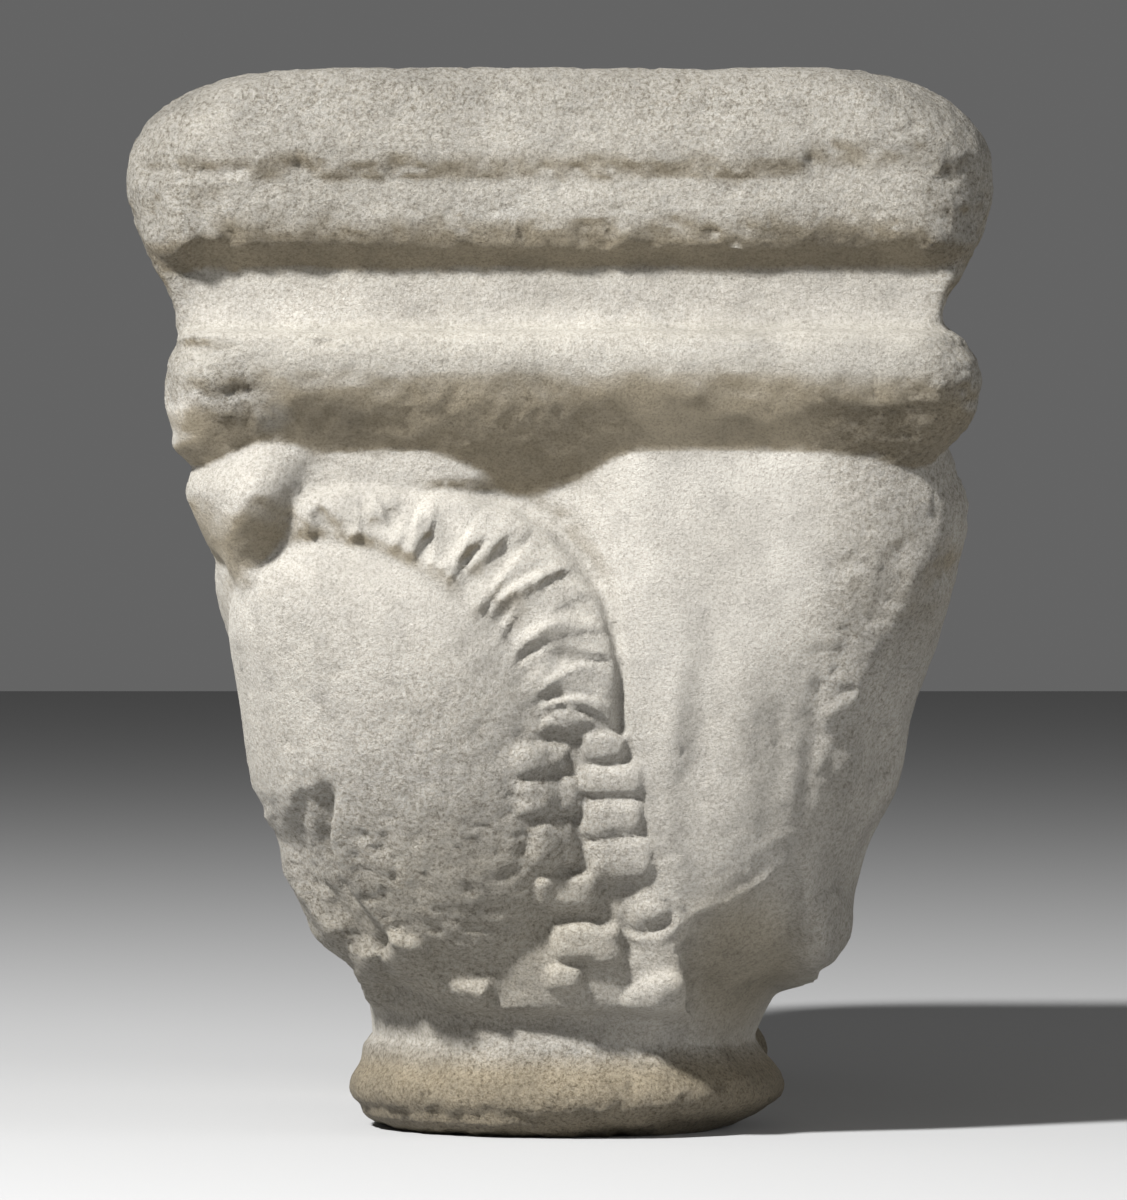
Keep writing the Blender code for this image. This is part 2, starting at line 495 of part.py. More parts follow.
def abacus_grid(pitch, steps):
    """Rings of the abacus, each a rounded rectangle with the same number of points."""
    levels, ends, sides = moulding_levels(steps)
    half_width = 0.5 * ABACUS_WIDTH
    half_length = 0.5 * ABACUS_LENGTH
    end_count = max(4, round(ABACUS_WIDTH / pitch))
    side_count = max(4, round(0.6 * ABACUS_LENGTH / pitch))
    xs = []
    ys = []
    for level, end_inset, side_inset in zip(levels, ends, sides):
        radius = float(corner_radius(level))
        straight = (half_width - side_inset - radius, half_length - end_inset - radius)
        ring_x = []
        ring_y = []
        for quarter in range(4):
            run = straight[quarter % 2]
            stand = straight[1 - quarter % 2] + radius
            count = (end_count, side_count)[quarter % 2]
            share = np.linspace(-1.0, 1.0, count, endpoint=False)
            bend = np.linspace(0.0, 0.5 * math.pi, 8, endpoint=False)
            out_x = np.concatenate([share * run, run + radius * np.sin(bend)])
            out_y = np.concatenate([np.full(count, -stand), radius - stand - radius * np.cos(bend)])
            c = (1.0, 0.0, -1.0, 0.0)[quarter]
            s = (0.0, 1.0, 0.0, -1.0)[quarter]
            ring_x.append(out_x * c - out_y * s)
            ring_y.append(out_x * s + out_y * c)
        xs.append(np.concatenate(ring_x))
        ys.append(np.concatenate(ring_y))
    x = np.array(xs)
    y = np.array(ys)
    z = levels[:, None] + np.zeros_like(x)
    return wear_abacus(x, y, z)


def wear_abacus(x, y, z):
    """Wear of the abacus: the band's step ends short of the corners, and the torus is rubbed."""
    half_width = 0.5 * ABACUS_WIDTH
    half_length = 0.5 * ABACUS_LENGTH
    face = smooth((-y - half_length + 2.0 * SCOTIA_INSET) / SCOTIA_INSET)
    # Right of the step the lower part of the band is lost back to the fascia
    lost = smooth((x - STEP_RIGHT) / (1.5 * FASCIA_INSET))
    band = smooth((z - FASCIA_TOP) / (0.02 * UPPER_BAND_HEIGHT))
    band = band * (1.0 - smooth((z - FASCIA_TOP) / (0.45 * UPPER_BAND_HEIGHT)))
    proud = np.clip(FASCIA_INSET - half_length - y, 0.0, FASCIA_INSET)
    new_y = y + 0.9 * proud * face * lost * band
    # Left of it the fascia swells out into the rounded corner
    left = smooth((STEP_LEFT - x) / (0.5 * SCOTIA_INSET))
    corner = smooth((-x - half_width + 1.5 * SCOTIA_INSET) / (1.5 * FASCIA_INSET))
    upper = smooth((z - FASCIA_TOP + 0.35 * FASCIA_HEIGHT) / (0.35 * FASCIA_HEIGHT))
    whole = smooth((z - SCOTIA_TOP) / SOFFIT_HEIGHT)
    fill = np.maximum(0.5 * left * upper, 0.9 * corner * whole) * (1.0 - band)
    new_y -= FASCIA_INSET * face * fill * (z < FASCIA_TOP + 0.03 * UPPER_BAND_HEIGHT)
    # The torus is worn back all along its left side and broken at the corner
    roll = smooth((z - CHAMFER_TOP + 0.60 * TORUS_HEIGHT) / (0.30 * TORUS_HEIGHT))
    roll = roll * smooth((TORUS_TOP + 0.10 * SCOTIA_HEIGHT - z) / (0.15 * TORUS_HEIGHT))
    new_x = x + TORUS_WEAR * roll * np.where(x < 0.0, (np.abs(x) / half_width) ** 5, 0.0)
    middle = CHAMFER_TOP + 0.55 * TORUS_HEIGHT
    away = np.sqrt(((x + half_width) / (0.17 * ABACUS_WIDTH)) ** 2
                   + ((y + half_length) / (0.10 * ABACUS_LENGTH)) ** 2
                   + ((z - middle) / (0.90 * TORUS_HEIGHT)) ** 2)
    gone = TORUS_BREAK * smooth(1.25 - away) * smooth((TORUS_TOP - z) / (0.3 * TORUS_HEIGHT))
    return new_x + 0.3 * gone, new_y + gone, z


def add_loft(name, grids, link):
    """Closed mesh from rings of points, with a flat cap at the foot and at the top."""
    x, y, z = grids
    rings, count = x.shape
    body = bmesh.new()
    corners = [[body.verts.new((x[i, j], y[i, j], z[i, j])) for j in range(count)]
               for i in range(rings)]
    for i in range(rings - 1):
        for j in range(count):
            k = (j + 1) % count
            body.faces.new((corners[i][j], corners[i][k], corners[i + 1][k], corners[i + 1][j]))
    body.faces.new(corners[0][::-1])
    body.faces.new(corners[-1])
    mesh = bpy.data.meshes.new(name)
    body.to_mesh(mesh)
    body.free()
    thing = bpy.data.objects.new(name, mesh)
    link.objects.link(thing)
    return thing


def marble():
    """White marble gone grey."""
    material = bpy.data.materials.new("marble")
    material.use_nodes = True
    shader = material.node_tree.nodes["Principled BSDF"]
    shader.inputs["Base Color"].default_value = (0.56, 0.53, 0.47, 1.0)
    shader.inputs["Roughness"].default_value = 0.78
    shader.inputs["Metallic"].default_value = 0.0
    return material


def carve_capital(columns, rows, pitch):
    """The whole block as one solid."""
    parts = bpy.data.collections.new("double_capital")
    bpy.context.scene.collection.children.link(parts)
    cutters = bpy.data.collections.new("cutters")
    bpy.context.scene.collection.children.link(cutters)
    stone = add_loft("double_capital", abacus_grid(pitch, 0.5 * pitch), parts)
    thin_out(stone, ABACUS_TRIANGLES)
    half = 0.5 * BELL_SPACING
    x, y, z = bell_grid(columns, rows, True)
    face_bell = add_loft("face_bell", (x, y - half, z), cutters)
    thin_out(face_bell, FACE_BELL_TRIANGLES)
    x, y, z = bell_grid(columns // 2, rows // 2, False)
    back_bell = add_loft("back_bell", (x[:, ::-1], half - y[:, ::-1], z), cutters)
    thin_out(back_bell, BACK_BELL_TRIANGLES)
    for bell in (face_bell, back_bell):
        bell.hide_render = True
        bell.display_type = "WIRE"
        join = stone.modifiers.new(bell.name, "BOOLEAN")
        join.operation = "UNION"
        join.solver = "EXACT"
        join.object = bell
    settle(stone)
    merge_slivers(stone)
    thin_out(stone, TRIANGLES)
    flatten_beds(stone)
    stone.data.materials.clear()
    stone.data.materials.append(marble())
    return stone


def settle(thing):
    """Apply the object's modifiers to its mesh."""
    view = bpy.context.evaluated_depsgraph_get()
    view.update()
    mesh = bpy.data.meshes.new_from_object(thing.evaluated_get(view))
    thing.modifiers.clear()
    thing.data = mesh


def merge_slivers(thing):
    """Weld corners that a seam has left almost on top of each other."""
    body = bmesh.new()
    body.from_mesh(thing.data)
    bmesh.ops.triangulate(body, faces=body.faces)
    bmesh.ops.remove_doubles(body, verts=body.verts, dist=SLIVER)
    bmesh.ops.dissolve_degenerate(body, edges=body.edges, dist=SLIVER)
    body.to_mesh(thing.data)
    body.free()


def thin_out(thing, limit):
    """Leave about as many triangles as the limit, most of them where the form turns."""
    facets = thing.modifiers.new("facets", "DECIMATE")
    facets.ratio = min(1.0, limit / count_triangles(thing))
    settle(thing)


def count_triangles(thing):
    """Triangles in a mesh once its faces are split."""
    return sum(len(face.vertices) - 2 for face in thing.data.polygons)


def flatten_beds(thing):
    """Bring every corner that lies on the top bed or the floor exactly into its plane."""
    for corner in thing.data.vertices:
        for level in (0.0, HEIGHT):
            if abs(corner.co.z - level) < 0.0005 * HEIGHT:
                corner.co.z = level


for old in list(bpy.data.objects):
    bpy.data.objects.remove(old, do_unlink=True)
carve_capital(300, 110, 0.02 * ABACUS_WIDTH)
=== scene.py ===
"""Double capital, dressed: the block's carved surface at full fineness, with its marble."""
import math

import bpy
import numpy as np
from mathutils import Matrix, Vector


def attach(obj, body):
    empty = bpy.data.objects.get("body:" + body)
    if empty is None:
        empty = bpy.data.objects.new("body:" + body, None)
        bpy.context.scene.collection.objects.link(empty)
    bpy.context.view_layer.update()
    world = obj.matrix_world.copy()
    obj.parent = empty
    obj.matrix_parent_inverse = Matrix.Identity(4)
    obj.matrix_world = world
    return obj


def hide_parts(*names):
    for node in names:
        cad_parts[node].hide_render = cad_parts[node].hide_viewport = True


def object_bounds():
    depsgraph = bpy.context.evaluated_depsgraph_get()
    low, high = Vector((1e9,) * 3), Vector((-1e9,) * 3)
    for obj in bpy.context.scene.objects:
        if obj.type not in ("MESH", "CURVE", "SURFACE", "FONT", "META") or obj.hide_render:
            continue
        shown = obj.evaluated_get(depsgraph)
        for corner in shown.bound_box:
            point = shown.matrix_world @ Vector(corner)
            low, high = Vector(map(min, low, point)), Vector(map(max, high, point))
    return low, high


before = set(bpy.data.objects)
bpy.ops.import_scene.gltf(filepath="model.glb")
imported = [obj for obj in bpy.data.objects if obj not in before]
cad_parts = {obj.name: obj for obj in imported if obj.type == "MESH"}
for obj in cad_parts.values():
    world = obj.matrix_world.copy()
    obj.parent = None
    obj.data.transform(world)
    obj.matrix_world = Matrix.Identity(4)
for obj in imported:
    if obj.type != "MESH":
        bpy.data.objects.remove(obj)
cad_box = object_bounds()

# Overall sizes
HEIGHT = 0.364
ABACUS_WIDTH = 0.293
ABACUS_LENGTH = 0.500
BELL_SPACING = 0.210

# Heights of the abacus mouldings, from the top bed down
UPPER_BAND_HEIGHT = 0.0377
FASCIA_HEIGHT = 0.0235
SOFFIT_HEIGHT = 0.0080
SCOTIA_HEIGHT = 0.0186
TORUS_HEIGHT = 0.0252
CHAMFER_HEIGHT = 0.0360

# How far each moulding stands back from the face of the upper band
FASCIA_INSET = 0.0038
SCOTIA_INSET = 0.0175
TORUS_INSET = 0.0038
CHAMFER_INSET = 0.0408

# Plan radii of the corners
BAND_CORNER = 0.030
SCOTIA_CORNER = 0.004
TORUS_CORNER = 0.018

# Rounding of the top edges: at the ends, and along the sides as width and height
END_ROUNDING = 0.012
SIDE_ROUND_WIDTH = 0.050
SIDE_ROUND_HEIGHT = 0.036

# Wear of the abacus: the step of the band, the left side of the torus and its corner
STEP_LEFT = -0.098
STEP_RIGHT = 0.079
TORUS_WEAR = 0.0090
TORUS_BREAK = 0.0050

# Bell, neck and astragal
BELL_HALF_WIDTH = 0.134
BELL_HALF_DEPTH = 0.134
BELL_LAP = 0.0125
NECK_RADIUS = 0.0685
ASTRAGAL_RADIUS = 0.0795
ASTRAGAL_HEIGHT = 0.032
BED_RADIUS = 0.0600
ASTRAGAL_WEAR = 0.0050

# Depth of the carving
BODY_RELIEF = 0.0155
DRAPE_RELIEF = 0.0085
HEAD_RELIEF = 0.0155
MANE_RELIEF = 0.0072
MANE_GROOVE = 0.0040
BLOCK_RELIEF = 0.0048
FOLD_RELIEF = 0.0030
RECESS_DEPTH = 0.0045
CREST_RELIEF = 0.0050
PAW_RELIEF = 0.0075
HOLLOW_DEPTH = 0.0160
LIP_RELIEF = 0.0085

# Number of locks in the mane
LOCKS = 16

# Share of a lock's height that the groove beside it takes, and its bend in degrees
LOCK_DEPTH = 0.40
MANE_BULGE = 3.6

# Points round a bell crowd on its carved face by this share
FACE_DENSITY = 0.45

# Levels that follow from the sizes above
FASCIA_TOP = HEIGHT - UPPER_BAND_HEIGHT
SOFFIT_TOP = FASCIA_TOP - FASCIA_HEIGHT
SCOTIA_TOP = SOFFIT_TOP - SOFFIT_HEIGHT
TORUS_TOP = SCOTIA_TOP - SCOTIA_HEIGHT
CHAMFER_TOP = TORUS_TOP - TORUS_HEIGHT
ABACUS_FOOT = CHAMFER_TOP - CHAMFER_HEIGHT
BELL_TOP = CHAMFER_TOP - BELL_LAP
BELL_HEIGHT = BELL_TOP - ASTRAGAL_HEIGHT

# Outline of the bell: share of its height, then share of its half width or half depth
LEFT_EDGE = ((0.00, 0.492), (0.06, 0.505), (0.10, 0.525), (0.13, 0.56), (0.16, 0.62),
             (0.23, 0.662), (0.30, 0.683), (0.37, 0.712), (0.43, 0.765), (0.50, 0.785),
             (0.57, 0.800), (0.63, 0.826), (0.70, 0.864), (0.77, 0.888), (0.84, 0.884),
             (0.91, 0.890), (1.00, 0.910))
RIGHT_EDGE = ((0.00, 0.511), (0.06, 0.558), (0.10, 0.600), (0.135, 0.69), (0.16, 0.735),
              (0.25, 0.775), (0.33, 0.81), (0.42, 0.88), (0.56, 0.92), (0.68, 0.98),
              (0.80, 1.025), (0.90, 1.045), (1.00, 0.99))
FACE_EDGE = ((0.00, 0.511), (0.05, 0.514), (0.09, 0.545), (0.17, 0.63), (0.31, 0.73),
             (0.48, 0.806), (0.65, 0.866), (0.82, 0.903), (1.00, 0.915))
SQUARENESS = ((0.00, 2.0), (0.10, 2.2), (0.30, 2.9), (0.50, 3.8), (0.70, 5.4), (0.85, 7.0),
              (1.00, 8.0))

# The mane runs round the haunch: its middle as shares of the half width and the height, and
# by degrees its inner and outer radius as shares of the half width, the strength of its
# locks and how far they bend
MANE_CENTRE = (-0.56, 0.505)
MANE_INNER = ((0, 0.490), (20, 0.465), (45, 0.445), (68, 0.475), (90, 0.505), (103, 0.510))
MANE_OUTER = ((0, 0.705), (8, 0.712), (20, 0.740), (30, 0.757), (45, 0.757), (54, 0.745),
              (62, 0.705), (72, 0.665), (103, 0.640))
MANE_FIRST = 103.0
MANE_LAST = 3.0
LOCK_STRENGTH = ((0, 0.9), (20, 1.0), (45, 0.95), (60, 0.60), (72, 0.45), (80, 0.6), (88, 0.9))
LOCK_BEND = ((0, 1.7), (25, 1.6), (45, 1.0), (65, 0.2), (90, -0.8))

# Square blocks below the mane: middle, then half width and half height, as shares
BLOCKS = ((-0.048, 0.481, 0.070, 0.026), (-0.025, 0.421, 0.080, 0.032),
          (-0.016, 0.342, 0.052, 0.044), (0.020, 0.262, 0.080, 0.031),
          (0.042, 0.179, 0.063, 0.034), (0.010, 0.116, 0.045, 0.023),
          (0.111, 0.502, 0.056, 0.025), (0.130, 0.447, 0.080, 0.027),
          (0.131, 0.386, 0.078, 0.032), (0.152, 0.317, 0.080, 0.038),
          (0.115, 0.172, 0.044, 0.036))

BELL_COLUMNS = (900, 420)
BELL_ROWS = (320, 150)
ABACUS_PITCH = (0.0016, 0.0030)
ABACUS_STEP = (0.0010, 0.0015)
VOXEL = (0.0013, 0.0026)
STONE_TRIANGLES = 192000

# Depth of the weathering: grain, swells, pits, broken places and the gash in the torus
GRAIN_DEPTH = 0.00024
SWELL_DEPTH = 0.00045
PIT_DEPTH = 0.00055
BREAK_DEPTH = 0.00100
GASH_DEPTH = 0.0016

# Size of each of them, and of the chips along the arrises
GRAIN_SIZE = 0.0042
SWELL_SIZE = 0.030
WIDE_PIT = 0.0062
NARROW_PIT = 0.0035
BREAK_SIZE = 0.011
CHIP_SIZE = 0.011
GASH_LENGTH = 0.0035
GASH_HEIGHT = 0.0016

# Chipped arrises: level, half height and depth
CHIPPED = ((FASCIA_TOP + 0.004, 0.0045, 0.0009), (SOFFIT_TOP + 0.004, 0.0060, 0.0008),
           (CHAMFER_TOP + 0.004, 0.0060, 0.0008), (HEIGHT - 0.006, 0.0060, 0.0010))

# Broken corners and the gash at the carved end, across and up
TORUS_CORNER_PLACE = (-0.110, 0.2555)
SLAB_CORNER_PLACE = (-0.128, 0.345)
RIGHT_CORNER_PLACE = (0.128, 0.262)
GASH_PLACE = (-0.079325, 0.2715)
GASH_SLANT = 0.35

# Wear of the plain skin, and how much rougher it is on the slab, along its top edge, at its
# corners, on the astragal, down the right edge of the bell and at the broken torus
BASE_WEAR = 0.46
SLAB_WEAR = 0.30
TOP_EDGE_WEAR = 0.20
CORNER_WEAR = 0.55
FOOT_WEAR = 0.80
RIGHT_EDGE_WEAR = 0.35
BROKEN_WEAR = 0.60

# Places of the bell that are rougher or smoother: middle as shares of the bell, half width,
# half height, and the change of wear
BELL_WEAR = ((-0.33, 0.26, 0.095, 0.095, 0.45), (-0.30, 0.80, 0.060, 0.050, -0.20),
             (0.35, 0.85, 0.060, 0.080, -0.30))

# Colours of the skin as shares of the marble's own; some also carry painted shade, as marked below
CLEAN = np.array((1.10, 1.08, 1.04))
YELLOWED = 0.95 * CLEAN * np.array((1.0, 0.97, 0.90))
DULL = 0.90 * CLEAN
SLAB = np.array((1.02, 1.00, 0.95))
# Painted shade: the slab's upward faces and rounded top edges are coloured darker
SLAB_TOP_SHADE = 0.84 * SLAB
SCOTIA = np.array((1.02, 1.00, 0.96))
# Brown crust of the undersides, darkened further as painted shade under the overhangs
CRUST_AND_SHADE = np.array((0.72, 0.63, 0.47))
# Brown of the recess under the hem, darkened further as painted shade
RECESS_BROWN_AND_SHADE = np.array((0.78, 0.71, 0.57))
# Brown crust of the astragal with painted shade: darker on its lower part, lighter at its upper
# edge
ASTRAGAL_CRUST_AND_SHADE = np.array((0.74, 0.65, 0.49))
ASTRAGAL_CRUST_AND_SHADE_EDGE = 1.25 * ASTRAGAL_CRUST_AND_SHADE
FRESH = np.array((1.14, 1.13, 1.10))
SKIN_TINT_SCALE = 0.8

# Rubbed spots where fresher marble shows: middle across and up, half width, half height
RUBBED = ((-0.112, 0.2560, 0.014, 0.010), (-0.098, 0.2480, 0.010, 0.008),
          (0.112, 0.3365, 0.016, 0.003), (0.052, 0.2700, 0.030, 0.005),
          (0.095, 0.2640, 0.018, 0.005), (-0.110, 0.2540, 0.016, 0.012),
          (-0.058, 0.2625, 0.014, 0.004), (-0.020, 0.3150, 0.020, 0.003),
          (-0.100, 0.3280, 0.020, 0.004), (0.020, 0.0310, 0.060, 0.003))

# Noise in the marble: cells a metre, layers, strength of the finer layers and place
TONE_NOISE = (22.0, 5.0, 0.65, 0.0)
VEIN_NOISE = (70.0, 6.0, 0.70, 2.0)
CRYSTAL_NOISE = (1100.0, 4.0, 0.85, 3.0)
DIRT_NOISE = (620.0, 5.0, 0.80, 9.0)
FINE_NOISE = (700.0, 5.0, 0.80, 5.0)
COARSE_NOISE = (300.0, 6.0, 0.78, 9.0)

# Colour at each share of the noise
TONE_STOPS = ((0.32, (0.40, 0.385, 0.355)), (0.68, (0.50, 0.485, 0.455)))
VEIN_STOPS = ((0.30, (0.80, 0.80, 0.80)), (0.48, (0.98, 0.98, 0.98)), (0.70, (1.0, 1.0, 1.0)))
CRYSTAL_STOPS = ((0.36, (0.50, 0.48, 0.45)), (0.50, (0.93, 0.93, 0.92)), (0.66, (1.0, 1.0, 1.0)))
DIRT_STOPS = ((0.36, (0.36, 0.32, 0.26)), (0.48, (0.84, 0.82, 0.78)), (0.56, (1.0, 1.0, 1.0)))
VEIN_SHARE = 0.9
CRYSTAL_SHARE = 0.8
MARBLE_ROUGHNESS = 0.72
FINE_GRAIN = 0.00075
COARSE_GRAIN = 0.00280

# Stage: half the floor, its grey and the room's, and the lamps with place, size and power
FLOOR_REACH = 12.0
FLOOR_GREY = (0.34, 0.34, 0.34, 1.0)
ROOM_GREY = (0.80, 0.80, 0.80, 1.0)
ROOM_STRENGTH = 0.16
LAMPS = (("key", (-1.49, -2.00, 2.28), 0.30, 312.0), ("fill", (2.5, -1.1, 1.0), 1.4, 26.0))
LAMP_AIM = np.array((0.0, -0.1, 0.18))
CAMERA_PLACE = (0.0012, -2.65, 0.1855)
FOCAL_LENGTH = 216.0
SENSOR_WIDTH = 36.0


def smooth(value):
    """Step from 0 to 1 with level ends."""
    value = np.clip(value, 0.0, 1.0)
    return value * value * (3.0 - 2.0 * value)


def track(level, table):
    """Value of a two-column table at a level."""
    return np.interp(level, [row[0] for row in table], [row[1] for row in table])


def flow(level, table):
    """Smooth curve through the rows of a two-column table."""
    at = np.array([row[0] for row in table])
    value = np.array([row[1] for row in table])
    slope = np.gradient(value, at)
    i = np.clip(np.searchsorted(at, level) - 1, 0, len(at) - 2)
    step = at[i + 1] - at[i]
    t = np.clip((level - at[i]) / step, 0.0, 1.0)
    start = value[i] * (1.0 - t) ** 2 * (1.0 + 2.0 * t) + slope[i] * step * t * (1.0 - t) ** 2
    end = value[i + 1] * t ** 2 * (3.0 - 2.0 * t) - slope[i + 1] * step * t ** 2 * (1.0 - t)
    return start + end


def place(points):
    """Points given as shares of the bell, in metres on its face."""
    return [(a * BELL_HALF_WIDTH, ASTRAGAL_HEIGHT + h * BELL_HEIGHT) for a, h in points]


def reach(x, z, path):
    """Distance to a path, the share of its length there, and the side (1 is left)."""
    best = np.full(np.shape(x), 10.0 * HEIGHT)
    share = np.zeros(np.shape(x))
    side = np.ones(np.shape(x))
    lengths = [math.dist(p, q) for p, q in zip(path, path[1:])]
    run = 0.0
    for (x0, z0), (x1, z1), length in zip(path, path[1:], lengths):
        dx = (x1 - x0) / length
        dz = (z1 - z0) / length
        t = np.clip((x - x0) * dx + (z - z0) * dz, 0.0, length)
        away = np.hypot(x - x0 - t * dx, z - z0 - t * dz)
        near = away < best
        best = np.where(near, away, best)
        share = np.where(near, (run + t) / sum(lengths), share)
        turn = dx * (z - z0) - dz * (x - x0)
        side = np.where(near, np.where(turn > 0.0, 1.0, -1.0), side)
        run += length
    return best, share, side


def ridge(x, z, points, half_width, height, taper=0.0):
    """Rounded ridge along a path; a negative height cuts a hollow."""
    away, share, _ = reach(x, z, place(points))
    fade = smooth(share / taper) * smooth((1.0 - share) / taper) if taper else 1.0
    return height * fade * smooth(1.0 - away / (half_width * BELL_HALF_WIDTH))


def dome(x, z, centre, half_x, half_z, height, tilt=0.0, power=2.0):
    """Rounded lump with an elliptical foot, squarer as the power rises."""
    (x0, z0), = place([centre])
    c = math.cos(tilt)
    s = math.sin(tilt)
    along = np.abs(((x - x0) * c + (z - z0) * s) / (half_x * BELL_HALF_WIDTH))
    across = np.abs(((z - z0) * c - (x - x0) * s) / (half_z * BELL_HALF_WIDTH))
    return height * np.sqrt(np.clip(1.0 - along ** power - across ** power, 0.0, 1.0))


def patch(x, z, points, edge):
    """1 inside an outline, falling to 0 over the width of its edge."""
    path = place(points)
    away, _, _ = reach(x, z, path + path[:1])
    inside = np.zeros(np.shape(x), dtype=bool)
    for (x0, z0), (x1, z1) in zip(path, path[1:] + path[:1]):
        crosses = (z0 > z) != (z1 > z)
        rise = np.where(z1 == z0, 1.0, z1 - z0)
        inside ^= crosses & (x < x0 + (x1 - x0) * (z - z0) / rise)
    return smooth(0.5 + np.where(inside, away, -away) / (edge * BELL_HALF_WIDTH))


def mane(x, z, detail):
    """Arched band of wavy locks, with the groove that runs outside it."""
    (x0, z0), = place([MANE_CENTRE])
    turn = np.degrees(np.arctan2(z - z0, x - x0))
    away = np.hypot(x - x0, z - z0) / BELL_HALF_WIDTH
    outer = track(turn, MANE_OUTER)
    start = track(turn, MANE_INNER)
    across = (away - start) / (outer - start)
    ends = smooth((turn - MANE_LAST + 3.0) / 6.0) * smooth((MANE_FIRST + 3.0 - turn) / 14.0)
    body = smooth(0.15 + across / 0.30) * smooth(0.5 + (1.0 - across) / 0.16) * ends
    inner = np.clip(across, 0.0, 1.0)
    crown = MANE_RELIEF * (0.15 + 0.85 * np.sin(math.pi * inner ** 1.05) ** 0.8)
    if detail:
        # Each lock rises slowly on its upper side and drops steeply on its lower side
        bulge = MANE_BULGE * track(turn, LOCK_BEND) * np.sin(math.pi * inner ** 0.75)
        count = LOCKS * (MANE_FIRST - turn + bulge) / (MANE_FIRST - MANE_LAST)
        count = count + 0.22 * np.sin(2.4 * count) + 0.14 * np.sin(5.3 * count + 9.0 * inner)
        part = count - np.floor(count)
        lock = np.minimum(smooth(part / 0.62), smooth((1.0 - part) / 0.30))
        thick = 1.0 + 0.18 * np.sin(3.7 * np.floor(count) + 3.0 * inner)
        groove_share = LOCK_DEPTH * track(turn, LOCK_STRENGTH) * (1.0 - 0.35 * inner)
        strands = 0.13 * np.sin(2.0 * math.pi * (2.0 * count + 0.8 * inner))
        crown = crown * thick * (1.0 + strands - groove_share * (1.0 - lock))
    wide = 0.035 + 0.055 * smooth((turn - 15.0) / 30.0) * smooth((75.0 - turn) / 20.0)
    beyond = (away - outer) / wide
    groove = -MANE_GROOVE * smooth(1.0 - beyond) * smooth(1.0 + 4.0 * beyond) * ends
    groove = groove * smooth((80.0 - turn) / 20.0)
    return crown * body + groove * (1.0 - body)


def beast_body(arc, z):
    """Swelling haunch and flank that wrap round the corner."""
    (x0, z0), = place([(-0.37, 0.47)])
    c = math.cos(0.26)
    s = math.sin(0.26)
    along = (z - z0) * c - (arc - x0) * s
    across = (arc - x0) * c + (z - z0) * s
    long_half = np.where(along > 0.0, 0.62, 0.56) * BELL_HALF_WIDTH
    wide_half = np.where(across > 0.0, 0.345, 0.72) * BELL_HALF_WIDTH
    spread = np.abs(along / long_half) ** 2.2 + np.abs(across / wide_half) ** 2.2
    return BODY_RELIEF * np.clip(1.0 - spread, 0.0, 1.0) ** 0.75


def head(x, z):
    """Head under the corner of the abacus: a lit cheek, a steep right side and a point."""
    right = ((-0.56, 1.30), (-0.61, 1.02), (-0.64, 0.93), (-0.66, 0.89), (-0.69, 0.85),
             (-0.73, 0.81), (-0.765, 0.765), (-0.795, 0.750))
    lower = ((-0.795, 0.750), (-0.84, 0.775), (-0.88, 0.805), (-0.96, 0.83), (-1.10, 0.84))
    inside = patch(x, z, right + lower[1:] + ((-1.10, 1.30),), 0.034)
    away, _, _ = reach(x, z, place(right))
    under, _, _ = reach(x, z, place(lower))
    cheek = 1.0 - np.clip(1.0 - away / (0.125 * BELL_HALF_WIDTH), 0.0, 1.0) ** 1.5
    jaw = 1.0 - 0.75 * np.clip(1.0 - under / (0.16 * BELL_HALF_WIDTH), 0.0, 1.0) ** 2.0
    back = np.clip(away / BELL_HALF_WIDTH - 0.11, 0.0, 1.0)
    brow = 0.15 + 0.85 * smooth((ASTRAGAL_HEIGHT + 1.03 * BELL_HEIGHT - z) / (0.12 * BELL_HEIGHT))
    return HEAD_RELIEF * inside * (cheek * jaw - 0.7 * back) * brow


def face_field(x, z):
    """Smooth drapery right of the mane, with its soft folds and the hollow over it."""
    path = place(((-0.06, 1.06), (-0.05, 0.94), (0.01, 0.86), (0.07, 0.78), (0.11, 0.70)))
    away, share, _ = reach(x, z, path)
    wide = (0.34 - 0.20 * share) * BELL_HALF_WIDTH
    field = -HOLLOW_DEPTH * (1.0 - 0.85 * share) * smooth(1.0 - away / wide)
    a = x / BELL_HALF_WIDTH
    h = (z - ASTRAGAL_HEIGHT) / BELL_HEIGHT
    full = smooth((a - 0.14) / 0.16) * smooth((0.78 - a) / 0.16)
    field += DRAPE_RELIEF * full * smooth((0.66 - h) / 0.42)
    field += ridge(x, z, ((0.33, 0.70), (0.27, 0.50), (0.21, 0.34)), 0.07, 0.5 * FOLD_RELIEF, 0.5)
    field += ridge(x, z, ((0.40, 0.85), (0.36, 0.62), (0.34, 0.44), (0.355, 0.22)), 0.075,
                   -0.8 * FOLD_RELIEF, 0.6)
    field += ridge(x, z, ((0.52, 0.85), (0.47, 0.60), (0.46, 0.42), (0.47, 0.22)), 0.10,
                   0.7 * FOLD_RELIEF, 0.5)
    field += ridge(x, z, ((0.66, 0.75), (0.64, 0.55), (0.625, 0.42), (0.61, 0.24)), 0.040,
                   -0.5 * FOLD_RELIEF, 0.5)
    return field


